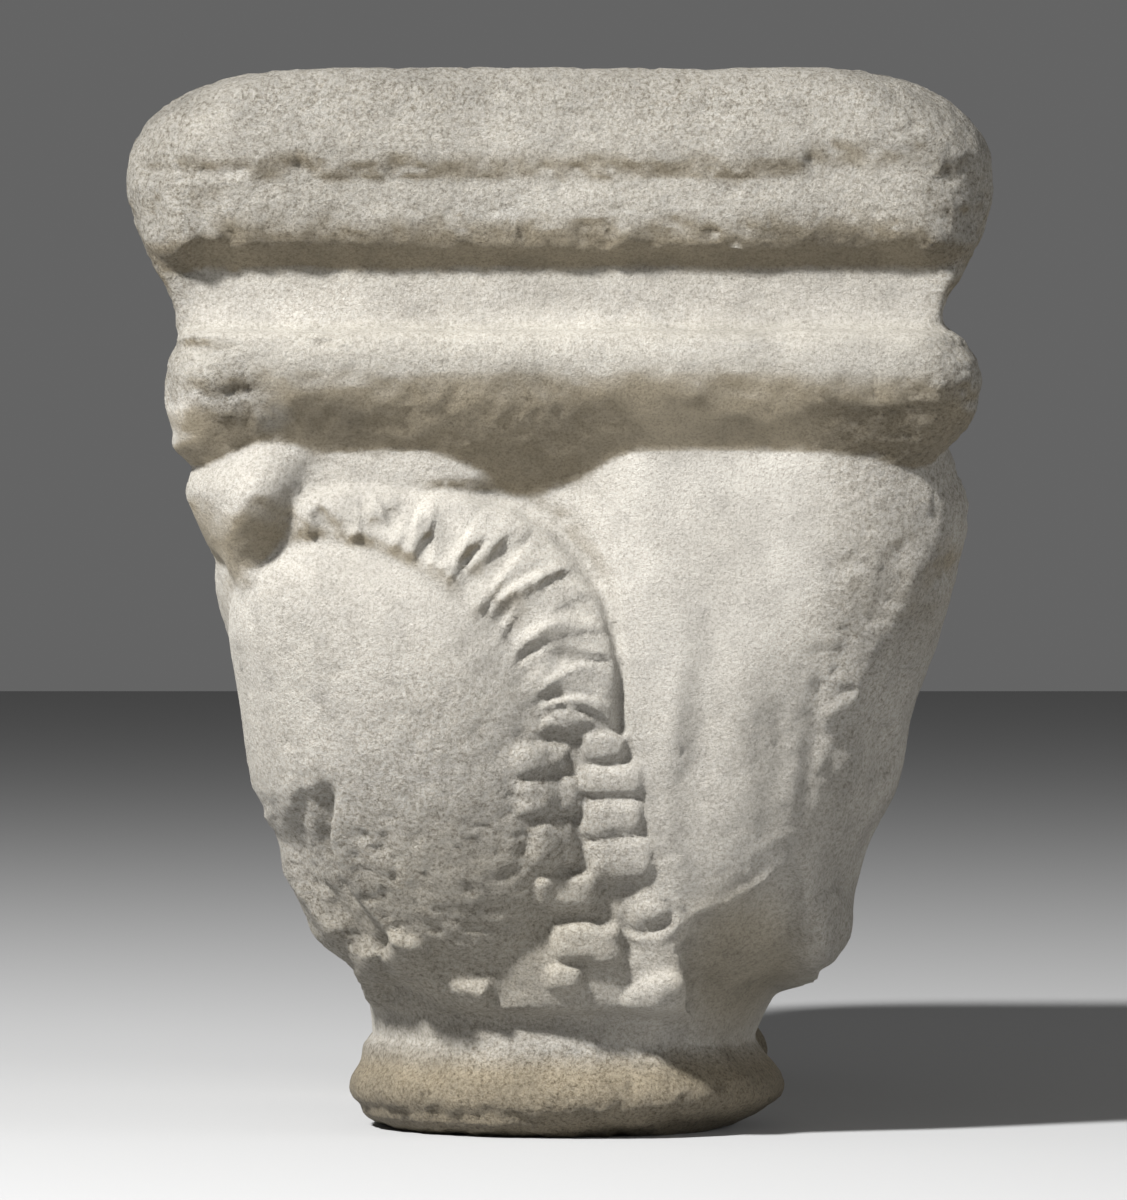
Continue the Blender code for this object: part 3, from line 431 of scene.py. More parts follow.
def corner_figure(x, z):
    """Worn crest and lumps down the right corner."""
    form = ridge(x, z, ((1.02, 0.880), (0.98, 0.835), (0.91, 0.785), (0.89, 0.740), (0.85, 0.710),
                        (0.80, 0.660), (0.76, 0.610), (0.72, 0.575), (0.69, 0.555)),
                 0.075, 0.36 * CREST_RELIEF, 0.15)
    form += ridge(x, z, ((0.99, 0.79), (0.93, 0.70), (0.87, 0.62)), 0.040, 0.5 * CREST_RELIEF, 0.2)
    form += ridge(x, z, ((1.00, 0.83), (0.94, 0.74), (0.89, 0.66), (0.83, 0.57)), 0.050,
                  -0.4 * CREST_RELIEF, 0.2)
    form += dome(x, z, (0.735, 0.560), 0.080, 0.045, 0.35 * CREST_RELIEF, 0.45)
    form += dome(x, z, (0.810, 0.495), 0.060, 0.085, -0.7 * CREST_RELIEF, -0.15)
    form += ridge(x, z, ((0.77, 0.54), (0.74, 0.46), (0.73, 0.36), (0.75, 0.28)), 0.075,
                  0.5 * CREST_RELIEF, 0.3)
    form += dome(x, z, (0.72, 0.190), 0.100, 0.110, CREST_RELIEF)
    return form


def haunch(x, z, face):
    """Hollow between the haunch and the leg, and the edge of the leg left of it."""
    path = place(((-0.585, 0.455), (-0.595, 0.41), (-0.600, 0.34), (-0.57, 0.275),
                  (-0.515, 0.225), (-0.44, 0.170), (-0.33, 0.125)))
    away, share, side = reach(x, z, path)
    width = np.where(side > 0.0, 0.038, 0.05 + 0.065 * smooth(share / 0.35))
    depth = 0.85 * PAW_RELIEF * (1.0 - 0.5 * smooth((share - 0.5) / 0.5))
    depth = depth * smooth(share / 0.10) * smooth((1.0 - share) / 0.12)
    face = face - depth * smooth(1.0 - away / (width * BELL_HALF_WIDTH))
    face = face + ridge(x, z, ((-0.568, 0.43), (-0.568, 0.37), (-0.558, 0.30), (-0.515, 0.24),
                               (-0.45, 0.185), (-0.37, 0.145)), 0.050, 0.42 * PAW_RELIEF, 0.2)
    return face + ridge(x, z, ((-0.76, 0.40), (-0.70, 0.31), (-0.63, 0.25), (-0.55, 0.17)), 0.050,
                        0.4 * PAW_RELIEF, 0.1)


def paws(x, z, detail):
    """Paws, ring and lumps along the foot of the carving."""
    form = dome(x, z, (-0.405, 0.145), 0.084, 0.070, 1.45 * PAW_RELIEF, -0.35)
    form = np.maximum(form, ridge(x, z, ((-0.40, 0.125), (-0.30, 0.100), (-0.16, 0.085)), 0.070,
                                  0.85 * PAW_RELIEF, 0.15))
    form = np.maximum(form, dome(x, z, (-0.495, 0.105), 0.042, 0.090, 0.8 * PAW_RELIEF, 0.30))
    form = np.maximum(form, dome(x, z, (0.255, 0.088), 0.100, 0.056, 0.75 * PAW_RELIEF, 0.25))
    if detail:
        form += dome(x, z, (0.229, 0.217), 0.100, 0.070, 0.50 * BLOCK_RELIEF, 0.2)
        form -= dome(x, z, (0.224, 0.220), 0.078, 0.052, 0.75 * BLOCK_RELIEF, 0.3)
        form += dome(x, z, (0.218, 0.225), 0.056, 0.036, 1.0 * BLOCK_RELIEF, 0.35)
    return form


def carving(x, z, arc, detail):
    """How far the carved face stands in front of the plain bell."""
    h = (z - ASTRAGAL_HEIGHT) / BELL_HEIGHT
    face = face_field(x, z) + beast_body(arc, z)
    face = haunch(x, z, face)
    horn = head(x, z)
    face = face + mane(x, z, detail) * smooth(1.0 - 4.0 * horn / HEAD_RELIEF)
    if detail:
        blocks = np.zeros(np.shape(x))
        for a, middle, half_a, half_h in BLOCKS:
            half_z = half_h * BELL_HEIGHT / BELL_HALF_WIDTH
            blocks = np.maximum(blocks, dome(x, z, (a, middle), half_a, half_z, 1.0, 0.05, 3.8))
        face = face + BLOCK_RELIEF * blocks
    face = face + horn
    # Hem of the drapery, with the recess under it
    recess = patch(x, z, ((0.36, 0.00), (0.345, 0.07), (0.325, 0.13), (0.305, 0.165), (0.35, 0.222),
                          (0.42, 0.230), (0.50, 0.262), (0.60, 0.315), (0.60, 0.20), (0.57, 0.12),
                          (0.57, 0.00)), 0.018)
    sunk = (DRAPE_RELIEF - RECESS_DEPTH) * smooth((h - 0.03) / 0.20)
    face = face * (1.0 - recess) + recess * sunk
    hem = ridge(x, z, ((0.305, 0.175), (0.35, 0.228), (0.42, 0.236), (0.50, 0.268), (0.60, 0.320)),
                0.035, 0.4 * FOLD_RELIEF, 0.2)
    lip = LIP_RELIEF * (0.35 + 0.65 * smooth((x / BELL_HALF_WIDTH + 0.30) / 0.30))
    lip = lip * smooth((h - 0.045) / 0.02) * smooth((0.22 - h) / 0.14)
    face += hem + (1.0 - recess) * lip
    return face + paws(x, z, detail) + corner_figure(x, z)


def bell_grid(columns, rows, detail):
    """Rings of the bell, neck and astragal round an axis at the origin."""
    turn = np.linspace(-math.pi, math.pi, columns, endpoint=False)
    turn = turn - FACE_DENSITY * np.cos(turn)
    foot = np.linspace(0.0, ASTRAGAL_HEIGHT, 12, endpoint=False)
    shaft = np.linspace(ASTRAGAL_HEIGHT, CHAMFER_TOP - 0.05 * CHAMFER_HEIGHT, rows)
    z = np.concatenate([foot, shaft])[:, None] + np.zeros((1, columns))
    turn = turn[None, :] + np.zeros_like(z)
    h = (z - ASTRAGAL_HEIGHT) / BELL_HEIGHT
    c = np.cos(turn)
    s = np.sin(turn)
    half_x = BELL_HALF_WIDTH * np.where(c > 0.0, flow(h, RIGHT_EDGE), flow(h, LEFT_EDGE))
    half_y = BELL_HALF_DEPTH * flow(h, FACE_EDGE)
    power = flow(h, SQUARENESS)
    radius = (np.abs(c / half_x) ** power + np.abs(s / half_y) ** power) ** (-1.0 / power)
    x = radius * c
    y = radius * s
    normal_x = np.sign(c) * np.abs(c * radius / half_x) ** (power - 1.0) / half_x
    normal_y = np.sign(s) * np.abs(s * radius / half_y) ** (power - 1.0) / half_y
    size = np.hypot(normal_x, normal_y)
    normal_x /= size
    normal_y /= size
    # Length round the section from the middle of the face, negative to the left
    front = int(np.argmin(np.abs(turn[0] + 0.5 * math.pi)))
    steps = np.hypot(np.diff(x, axis=1), np.diff(y, axis=1))
    arc = np.concatenate([np.zeros((len(z), 1)), np.cumsum(steps, axis=1)], axis=1)
    arc = arc - arc[:, front:front + 1]
    facing = smooth((-normal_y - 0.02) / 0.40) * (s < 0.0)
    fade = facing * smooth((h - 0.02) / 0.05)
    # The carving stands over the spot that it is seen at, not over its own foot
    near = x + normal_x * carving(x, z, arc, False) * fade
    out = carving(near, z, arc, detail) * fade
    x = x + normal_x * out
    y = y + normal_y * out
    low = z < ASTRAGAL_HEIGHT
    ring = astragal_radius(z / ASTRAGAL_HEIGHT, c)
    x = np.where(low, ring * c, x)
    y = np.where(low, ring * s, y)
    return x, y, z


def astragal_radius(level, right):
    """Radius of the astragal at a share of its height, worn back on the left."""
    proud = ASTRAGAL_RADIUS - NECK_RADIUS
    profile = ((0.00, BED_RADIUS), (0.07, 0.4 * BED_RADIUS + 0.6 * NECK_RADIUS),
               (0.20, NECK_RADIUS + 0.36 * proud), (0.32, NECK_RADIUS + 0.87 * proud),
               (0.44, ASTRAGAL_RADIUS), (0.56, NECK_RADIUS + 0.93 * proud),
               (0.68, NECK_RADIUS + 0.66 * proud), (0.80, NECK_RADIUS + 0.32 * proud),
               (0.92, NECK_RADIUS + 0.06 * proud), (1.02, NECK_RADIUS))
    ring = track(level, profile)
    worn = smooth(0.5 - 1.2 * right) * smooth((ring - NECK_RADIUS) / (0.7 * proud))
    return ring - ASTRAGAL_WEAR * worn


def moulding_levels(steps):
    """Levels of the abacus rings, with the inset of the ends and of the long sides."""
    arris = SCOTIA_INSET - TORUS_INSET
    ends = ((ABACUS_FOOT, CHAMFER_INSET),
            (CHAMFER_TOP, TORUS_INSET + 0.44 * arris),
            (CHAMFER_TOP + 0.07 * TORUS_HEIGHT, TORUS_INSET + 0.33 * arris),
            (CHAMFER_TOP + 0.23 * TORUS_HEIGHT, TORUS_INSET + 0.165 * arris),
            (CHAMFER_TOP + 0.39 * TORUS_HEIGHT, TORUS_INSET + 0.05 * arris),
            (CHAMFER_TOP + 0.58 * TORUS_HEIGHT, TORUS_INSET),
            (CHAMFER_TOP + 0.73 * TORUS_HEIGHT, TORUS_INSET + 0.02 * arris),
            (CHAMFER_TOP + 0.88 * TORUS_HEIGHT, TORUS_INSET + 0.10 * arris),
            (CHAMFER_TOP + 0.96 * TORUS_HEIGHT, TORUS_INSET + 0.28 * arris),
            (TORUS_TOP, TORUS_INSET + 0.62 * arris),
            (TORUS_TOP + 0.08 * SCOTIA_HEIGHT, TORUS_INSET + 0.80 * arris),
            (TORUS_TOP + 0.24 * SCOTIA_HEIGHT, TORUS_INSET + 0.93 * arris),
            (TORUS_TOP + 0.50 * SCOTIA_HEIGHT, SCOTIA_INSET),
            (SCOTIA_TOP, SCOTIA_INSET),
            (SCOTIA_TOP + 0.35 * SOFFIT_HEIGHT, 0.96 * SCOTIA_INSET),
            (SCOTIA_TOP + 0.65 * SOFFIT_HEIGHT, 0.80 * SCOTIA_INSET),
            (SOFFIT_TOP, FASCIA_INSET + 0.38 * SCOTIA_INSET),
            (SOFFIT_TOP + 0.11 * FASCIA_HEIGHT, FASCIA_INSET + 0.23 * SCOTIA_INSET),
            (SOFFIT_TOP + 0.28 * FASCIA_HEIGHT, FASCIA_INSET + 0.10 * SCOTIA_INSET),
            (SOFFIT_TOP + 0.45 * FASCIA_HEIGHT, FASCIA_INSET + 0.03 * SCOTIA_INSET),
            (SOFFIT_TOP + 0.62 * FASCIA_HEIGHT, FASCIA_INSET),
            (FASCIA_TOP, FASCIA_INSET),
            (FASCIA_TOP + 0.03 * UPPER_BAND_HEIGHT, 0.66 * FASCIA_INSET),
            (FASCIA_TOP + 0.09 * UPPER_BAND_HEIGHT, 0.42 * FASCIA_INSET),
            (FASCIA_TOP + 0.14 * UPPER_BAND_HEIGHT, 0.20 * FASCIA_INSET),
            (FASCIA_TOP + 0.19 * UPPER_BAND_HEIGHT, 0.07 * FASCIA_INSET),
            (FASCIA_TOP + 0.26 * UPPER_BAND_HEIGHT, 0.0))
    sides = ((ABACUS_FOOT, CHAMFER_INSET),
             (CHAMFER_TOP - 0.56 * TORUS_HEIGHT, TORUS_INSET + 0.86 * arris),
             (CHAMFER_TOP - 0.32 * TORUS_HEIGHT, TORUS_INSET + 0.40 * arris),
             (CHAMFER_TOP - 0.08 * TORUS_HEIGHT, TORUS_INSET + 0.14 * arris),
             (CHAMFER_TOP + 0.30 * TORUS_HEIGHT, TORUS_INSET),
             (CHAMFER_TOP + 0.62 * TORUS_HEIGHT, TORUS_INSET + 0.16 * arris),
             (CHAMFER_TOP + 0.88 * TORUS_HEIGHT, TORUS_INSET + 0.50 * arris),
             (TORUS_TOP, TORUS_INSET + 0.82 * arris),
             (TORUS_TOP + 0.06 * SCOTIA_HEIGHT, 0.98 * SCOTIA_INSET),
             (TORUS_TOP + 0.32 * SCOTIA_HEIGHT, SCOTIA_INSET),
             (TORUS_TOP + 0.69 * SCOTIA_HEIGHT, 0.86 * SCOTIA_INSET),
             (SCOTIA_TOP, 0.64 * SCOTIA_INSET),
             (SCOTIA_TOP + 0.70 * SOFFIT_HEIGHT, 0.47 * SCOTIA_INSET),
             (SOFFIT_TOP + 0.22 * FASCIA_HEIGHT, 0.25 * SCOTIA_INSET),
             (SOFFIT_TOP + 0.47 * FASCIA_HEIGHT, 0.12 * SCOTIA_INSET),
             (SOFFIT_TOP + 0.73 * FASCIA_HEIGHT, 0.03 * SCOTIA_INSET),
             (FASCIA_TOP, 0.0))
    levels = [ends[0][0]]
    for (low, _), (high, _) in zip(ends, ends[1:]):
        count = max(1, round((high - low) / steps))
        levels += [low + (high - low) * (i + 1) / count for i in range(count)]
    levels += list(np.linspace(levels[-1], HEIGHT - END_ROUNDING, 6)[1:])
    turns = np.linspace(0.0, 0.5 * math.pi, 9)[1:]
    levels += [HEIGHT - END_ROUNDING + END_ROUNDING * math.sin(turn) for turn in turns]
    levels = np.array(levels)
    end_rise = np.clip((levels - HEIGHT) / END_ROUNDING + 1.0, 0.0, 1.0)
    side_rise = np.clip((levels - HEIGHT) / SIDE_ROUND_HEIGHT + 1.0, 0.0, 1.0)
    end_round = END_ROUNDING * (1.0 - np.sqrt(1.0 - end_rise ** 2))
    side_round = SIDE_ROUND_WIDTH * (1.0 - np.sqrt(1.0 - side_rise ** 2))
    return levels, track(levels, ends) + end_round, track(levels, sides) + side_round


def corner_radius(level):
    """Plan radius of the abacus corners at each level."""
    table = ((ABACUS_FOOT, SCOTIA_CORNER), (CHAMFER_TOP, TORUS_CORNER),
             (CHAMFER_TOP + 0.80 * TORUS_HEIGHT, TORUS_CORNER),
             (TORUS_TOP, 0.5 * (TORUS_CORNER + SCOTIA_CORNER)),
             (TORUS_TOP + 0.24 * SCOTIA_HEIGHT, SCOTIA_CORNER), (SCOTIA_TOP, SCOTIA_CORNER),
             (SOFFIT_TOP, 0.5 * (SCOTIA_CORNER + BAND_CORNER)),
             (SOFFIT_TOP + 0.45 * FASCIA_HEIGHT, BAND_CORNER), (HEIGHT, BAND_CORNER))
    return track(level, table)


def abacus_grid(pitch, steps):
    """Rings of the abacus, each a rounded rectangle with the same number of points."""
    levels, ends, sides = moulding_levels(steps)
    half_width = 0.5 * ABACUS_WIDTH
    half_length = 0.5 * ABACUS_LENGTH
    end_count = max(4, round(ABACUS_WIDTH / pitch))
    side_count = max(4, round(0.6 * ABACUS_LENGTH / pitch))
    xs = []
    ys = []
    for level, end_inset, side_inset in zip(levels, ends, sides):
        radius = float(corner_radius(level))
        straight = (half_width - side_inset - radius, half_length - end_inset - radius)
        ring_x = []
        ring_y = []
        for quarter in range(4):
            run = straight[quarter % 2]
            stand = straight[1 - quarter % 2] + radius
            count = (end_count, side_count)[quarter % 2]
            share = np.linspace(-1.0, 1.0, count, endpoint=False)
            bend = np.linspace(0.0, 0.5 * math.pi, 8, endpoint=False)
            out_x = np.concatenate([share * run, run + radius * np.sin(bend)])
            out_y = np.concatenate([np.full(count, -stand), radius - stand - radius * np.cos(bend)])
            c = (1.0, 0.0, -1.0, 0.0)[quarter]
            s = (0.0, 1.0, 0.0, -1.0)[quarter]
            ring_x.append(out_x * c - out_y * s)
            ring_y.append(out_x * s + out_y * c)
        xs.append(np.concatenate(ring_x))
        ys.append(np.concatenate(ring_y))
    x = np.array(xs)
    y = np.array(ys)
    z = levels[:, None] + np.zeros_like(x)
    return wear_abacus(x, y, z)


def wear_abacus(x, y, z):
    """Wear of the abacus: the band's step ends short of the corners, and the torus is rubbed."""
    half_width = 0.5 * ABACUS_WIDTH
    half_length = 0.5 * ABACUS_LENGTH
    face = smooth((-y - half_length + 2.0 * SCOTIA_INSET) / SCOTIA_INSET)
    # Right of the step the lower part of the band is lost back to the fascia
    lost = smooth((x - STEP_RIGHT) / (1.5 * FASCIA_INSET))
    band = smooth((z - FASCIA_TOP) / (0.02 * UPPER_BAND_HEIGHT))
    band = band * (1.0 - smooth((z - FASCIA_TOP) / (0.45 * UPPER_BAND_HEIGHT)))
    proud = np.clip(FASCIA_INSET - half_length - y, 0.0, FASCIA_INSET)
    new_y = y + 0.9 * proud * face * lost * band
    # Left of it the fascia swells out into the rounded corner
    left = smooth((STEP_LEFT - x) / (0.5 * SCOTIA_INSET))
    corner = smooth((-x - half_width + 1.5 * SCOTIA_INSET) / (1.5 * FASCIA_INSET))
    upper = smooth((z - FASCIA_TOP + 0.35 * FASCIA_HEIGHT) / (0.35 * FASCIA_HEIGHT))
    whole = smooth((z - SCOTIA_TOP) / SOFFIT_HEIGHT)
    fill = np.maximum(0.5 * left * upper, 0.9 * corner * whole) * (1.0 - band)
    new_y -= FASCIA_INSET * face * fill * (z < FASCIA_TOP + 0.03 * UPPER_BAND_HEIGHT)
    # The torus is worn back all along its left side and broken at the corner
    roll = smooth((z - CHAMFER_TOP + 0.60 * TORUS_HEIGHT) / (0.30 * TORUS_HEIGHT))
    roll = roll * smooth((TORUS_TOP + 0.10 * SCOTIA_HEIGHT - z) / (0.15 * TORUS_HEIGHT))
    new_x = x + TORUS_WEAR * roll * np.where(x < 0.0, (np.abs(x) / half_width) ** 5, 0.0)
    middle = CHAMFER_TOP + 0.55 * TORUS_HEIGHT
    away = np.sqrt(((x + half_width) / (0.17 * ABACUS_WIDTH)) ** 2
                   + ((y + half_length) / (0.10 * ABACUS_LENGTH)) ** 2
                   + ((z - middle) / (0.90 * TORUS_HEIGHT)) ** 2)
    gone = TORUS_BREAK * smooth(1.25 - away) * smooth((TORUS_TOP - z) / (0.3 * TORUS_HEIGHT))
    return new_x + 0.3 * gone, new_y + gone, z


def lattice(points, seed):
    """Smooth random value from -1 to 1 at each point, with cells of unit size."""
    cell = np.floor(points).astype(np.int64)
    part = points - cell
    part = part * part * (3.0 - 2.0 * part)
    total = np.zeros(len(points))
    for corner in range(8):
        step = np.array([corner & 1, (corner >> 1) & 1, (corner >> 2) & 1])
        key = (cell + step).astype(np.uint64)
        mix = (key[:, 0] * np.uint64(73856093) ^ key[:, 1] * np.uint64(19349663)
               ^ key[:, 2] * np.uint64(83492791) ^ np.uint64(seed * 2654435761 % 2 ** 32))
        mix = (mix ^ (mix >> np.uint64(13))) * np.uint64(1274126177) & np.uint64(0xFFFFFFFF)
        mix = (mix ^ (mix >> np.uint64(16))) & np.uint64(0xFFFF)
        weight = np.prod(np.where(step == 1, part, 1.0 - part), axis=1)
        total += weight * (mix.astype(float) / 32767.5 - 1.0)
    return total


def rough(points, size, octaves, seed):
    """Several layers of the random field, each half the size of the last."""
    total = np.zeros(len(points))
    for octave in range(octaves):
        total += lattice(points / size * 2 ** octave + 100.0, seed + octave) * 0.5 ** octave
    return total


def closed_rings(x, y, z):
    """Points and faces of a closed mass from its rings of points."""
    rings, count = x.shape
    points = np.stack([x, y, z], axis=-1).reshape(-1, 3)
    i, j = np.meshgrid(np.arange(rings - 1), np.arange(count), indexing="ij")
    k = (j + 1) % count
    quads = np.stack([i * count + j, i * count + k, (i + 1) * count + k, (i + 1) * count + j],
                     axis=-1).reshape(-1, 4)
    faces = quads.tolist()
    faces.append(list(range(count))[::-1])
    faces.append(list(range((rings - 1) * count, rings * count)))
    return points.tolist(), faces


def baked(thing):
    """Replace the object's mesh by what its modifiers make of it."""
    view = bpy.context.evaluated_depsgraph_get()
    view.update()
    mesh = bpy.data.meshes.new_from_object(thing.evaluated_get(view))
    thing.modifiers.clear()
    thing.data = mesh


def points_of(mesh):
    """Vertex positions and normals."""
    points = np.empty(len(mesh.vertices) * 3)
    normals = np.empty(len(mesh.vertices) * 3)
    mesh.vertices.foreach_get("co", points)
    mesh.vertices.foreach_get("normal", normals)
    return points.reshape(-1, 3), normals.reshape(-1, 3)


def move_points(mesh, points):
    """Give the mesh new vertex positions."""
    mesh.vertices.foreach_set("co", points.ravel())
    mesh.update()


def masses(look):
    """Abacus, carved bell and plainer back bell, as rings of points."""
    half = 0.5 * BELL_SPACING
    abacus = abacus_grid(ABACUS_PITCH[look], ABACUS_STEP[look])
    x, y, z = bell_grid(BELL_COLUMNS[look], BELL_ROWS[look], True)
    front = (x, y - half, z)
    x, y, z = bell_grid(BELL_COLUMNS[look] // 2, BELL_ROWS[look] // 2, False)
    back = (x[:, ::-1], half - y[:, ::-1], z)
    return abacus, front, back


def build_stone():
    """One weathered skin over the abacus and both bells."""
    look = 0
    points = []
    faces = []
    for rings in masses(look):
        base = len(points)
        more_points, more_faces = closed_rings(*rings)
        points += more_points
        faces += [[base + i for i in face] for face in more_faces]
    joined = bpy.data.meshes.new("stone")
    joined.from_pydata(points, [], faces)
    stone = bpy.data.objects.new("capital_stone", joined)
    bpy.context.scene.collection.objects.link(stone)
    skin = stone.modifiers.new("skin", "REMESH")
    skin.mode = "VOXEL"
    skin.voxel_size = VOXEL[look]
    baked(stone)
    points, normals = points_of(stone.data)
    points = points + normals * weather(points)[:, None]
    points[:, 2] = np.clip(points[:, 2], 0.0, HEIGHT)
    move_points(stone.data, points)
    thin = stone.modifiers.new("thin", "DECIMATE")
    thin.ratio = min(1.0, STONE_TRIANGLES / (2 * len(stone.data.polygons)))
    baked(stone)
    # The skin stays inside the solid's own box
    points, _ = points_of(stone.data)
    low, high = np.array(cad_box)
    move_points(stone.data, np.clip(points, low, high))
    paint_skin(stone)
    return stone


def spot(points, x0, z0, half_x, half_z):
    """1 in the middle of an ellipse on the carved end, 0 outside it."""
    away = np.hypot((points[:, 0] - x0) / half_x, (points[:, 2] - z0) / half_z)
    return smooth(1.4 * (1.0 - away)) * smooth((-points[:, 1] - 0.10) / 0.05)


def bell_spot(points, a, h, half_x, half_z):
    """The same, with its middle given as shares of the bell."""
    (x0, z0), = place([(a, h)])
    return spot(points, x0, z0, half_x, half_z)


def wear_of(points):
    """How rough the skin is, from 0 on the smooth field to 1 on the broken corners."""
    x = points[:, 0]
    z = points[:, 2]
    outer = 0.78 * 0.5 * ABACUS_WIDTH
    wear = BASE_WEAR + 0.16 * rough(points, 0.040, 2, 31)
    wear += SLAB_WEAR * smooth((z - SOFFIT_TOP) / 0.004)
    wear += TOP_EDGE_WEAR * smooth((z - HEIGHT + 0.022) / 0.012)
    wear += FOOT_WEAR * smooth((ASTRAGAL_HEIGHT + 0.001 - z) / 0.006)
    wear += CORNER_WEAR * (z > CHAMFER_TOP) * smooth((np.abs(x) - outer) / 0.02)
    wear += RIGHT_EDGE_WEAR * (z < CHAMFER_TOP) * smooth((x - 0.080) / 0.02)
    for a, h, half_x, half_z, change in BELL_WEAR:
        wear += change * bell_spot(points, a, h, half_x, half_z)
    wear += BROKEN_WEAR * spot(points, *TORUS_CORNER_PLACE, 0.018, 0.016)
    return np.clip(wear, 0.0, 1.0)


def weather(points):
    """How far the worn skin stands off the carved form."""
    x = points[:, 0]
    z = points[:, 2]
    wear = wear_of(points)
    shown = 0.35 + 0.65 * smooth((-points[:, 1] - 0.13) / 0.04)
    lift = GRAIN_DEPTH * (0.3 + 1.6 * wear) * shown * rough(points, GRAIN_SIZE, 2, 7)
    lift += SWELL_DEPTH * rough(points, SWELL_SIZE, 2, 21)
    pits = smooth((lattice(points / WIDE_PIT, 41) - 0.35) / 0.35)
    pits += 0.9 * smooth((lattice(points / NARROW_PIT, 43) - 0.30) / 0.35)
    lift -= PIT_DEPTH * wear * shown * pits
    # Corners, the fascia and the foot of the astragal are broken
    broken = spot(points, *TORUS_CORNER_PLACE, 0.020, 0.017)
    broken += spot(points, *SLAB_CORNER_PLACE, 0.020, 0.016)
    broken += 0.7 * spot(points, *RIGHT_CORNER_PLACE, 0.016, 0.020)
    broken += 0.5 * smooth((z - SOFFIT_TOP) / 0.004) * smooth((FASCIA_TOP + 0.012 - z) / 0.010)
    broken += 0.6 * smooth((0.024 - z) / 0.010)
    lift += BREAK_DEPTH * np.clip(broken, 0.0, 1.0) * rough(points, BREAK_SIZE, 3, 51)
    # Arrises are chipped here and there
    chips = smooth(0.5 + 0.6 * rough(points * np.array([1.0, 1.0, 0.6]), CHIP_SIZE, 4, 61))
    for level, tall, deep in CHIPPED:
        lift -= deep * np.exp(-((z - level) / tall) ** 2) * chips
    along = (x - GASH_PLACE[0] - GASH_SLANT * (z - GASH_PLACE[1])) / GASH_LENGTH
    up = (z - GASH_PLACE[1]) / GASH_HEIGHT
    return lift - GASH_DEPTH * np.exp(-along ** 2 - up ** 2) * (points[:, 1] < -0.2)


def mix(first, share, second):
    """One colour laid over another by a share at each point."""
    share = np.clip(share, 0.0, 1.0)[:, None]
    return first * (1.0 - share) + second * share


def stain_and_shade_of(points, normals):
    """Colour of the skin as a share of the marble's: real stains, brown crust with painted shade
    where it faces down, in the recess and on the astragal, and painted shade on the slab's upward
    faces.
    """
    x = points[:, 0]
    z = points[:, 2]
    patchy = 0.09 * rough(points, 0.035, 3, 71) + 0.08 * rough(points, 0.009, 2, 81)
    streaks = rough(points * np.array([1.0, 1.0, 0.12]), 0.006, 2, 85)
    patchy += 0.05 * streaks * smooth((x - 0.005) / 0.02) * (z < CHAMFER_TOP)
    tint = np.ones((len(points), 3)) * CLEAN
    tint = mix(tint, 0.8 * bell_spot(points, -0.25, 0.20, 0.080, 0.055), YELLOWED)
    tint = mix(tint, 0.9 * bell_spot(points, 0.25, 0.58, 0.060, 0.050), DULL)
    tint = mix(tint, smooth((z - CHAMFER_TOP) / 0.010), SLAB)
    tint = mix(tint, smooth((z - TORUS_TOP - 0.001) / 0.003) * smooth((SCOTIA_TOP - z) / 0.005),
               SCOTIA)
    # Painted shade: the slab's upward faces are darkened
    facing_up = smooth((normals[:, 2] - 0.15) / 0.5)
    tint = mix(tint, facing_up * smooth((z - SCOTIA_TOP) / 0.02), SLAB_TOP_SHADE)
    # Downward faces above the bell's foot: real brown crust together with painted shade
    facing_down = smooth((-normals[:, 2] - 0.12 + 0.10 * patchy) / 0.45)
    tint = mix(tint, facing_down * smooth((z - 0.16) / 0.05), CRUST_AND_SHADE)
    # The recess under the hem is painted darker: brown stone together with painted shade
    tint = mix(tint, 0.9 * bell_spot(points, 0.47, 0.13, 0.032, 0.040), RECESS_BROWN_AND_SHADE)
    # The astragal is painted brown and darker towards its foot: crust together with painted shade
    tint = mix(tint, smooth((0.033 - z - 0.010 * patchy) / 0.012), ASTRAGAL_CRUST_AND_SHADE_EDGE)
    tint = mix(tint, smooth((0.025 - z - 0.020 * patchy) / 0.010), ASTRAGAL_CRUST_AND_SHADE)
    fresh = np.zeros(len(points))
    for x0, z0, half_x, half_z in RUBBED:
        fresh = np.maximum(fresh, spot(points, x0, z0, half_x, half_z))
    fresh = fresh * smooth(0.5 + 0.8 * rough(points, 0.006, 2, 91))
    return mix(tint, 0.8 * fresh, FRESH) * (1.0 + patchy)[:, None]


def paint_skin(stone):
    """Keep the stain, with its painted shade, and the wear at every corner for the material to
    read.
    """
    points, normals = points_of(stone.data)
    tint = np.ones((len(points), 4))
    tint[:, :3] = SKIN_TINT_SCALE * np.clip(stain_and_shade_of(points, normals), 0.2, 1.25)
    stain_and_shade = stone.data.attributes.new("stain_and_shade", "FLOAT_COLOR", "POINT")
    stain_and_shade.data.foreach_set("color", tint.ravel())
    wear = stone.data.attributes.new("wear", "FLOAT", "POINT")
    wear.data.foreach_set("value", wear_of(points))


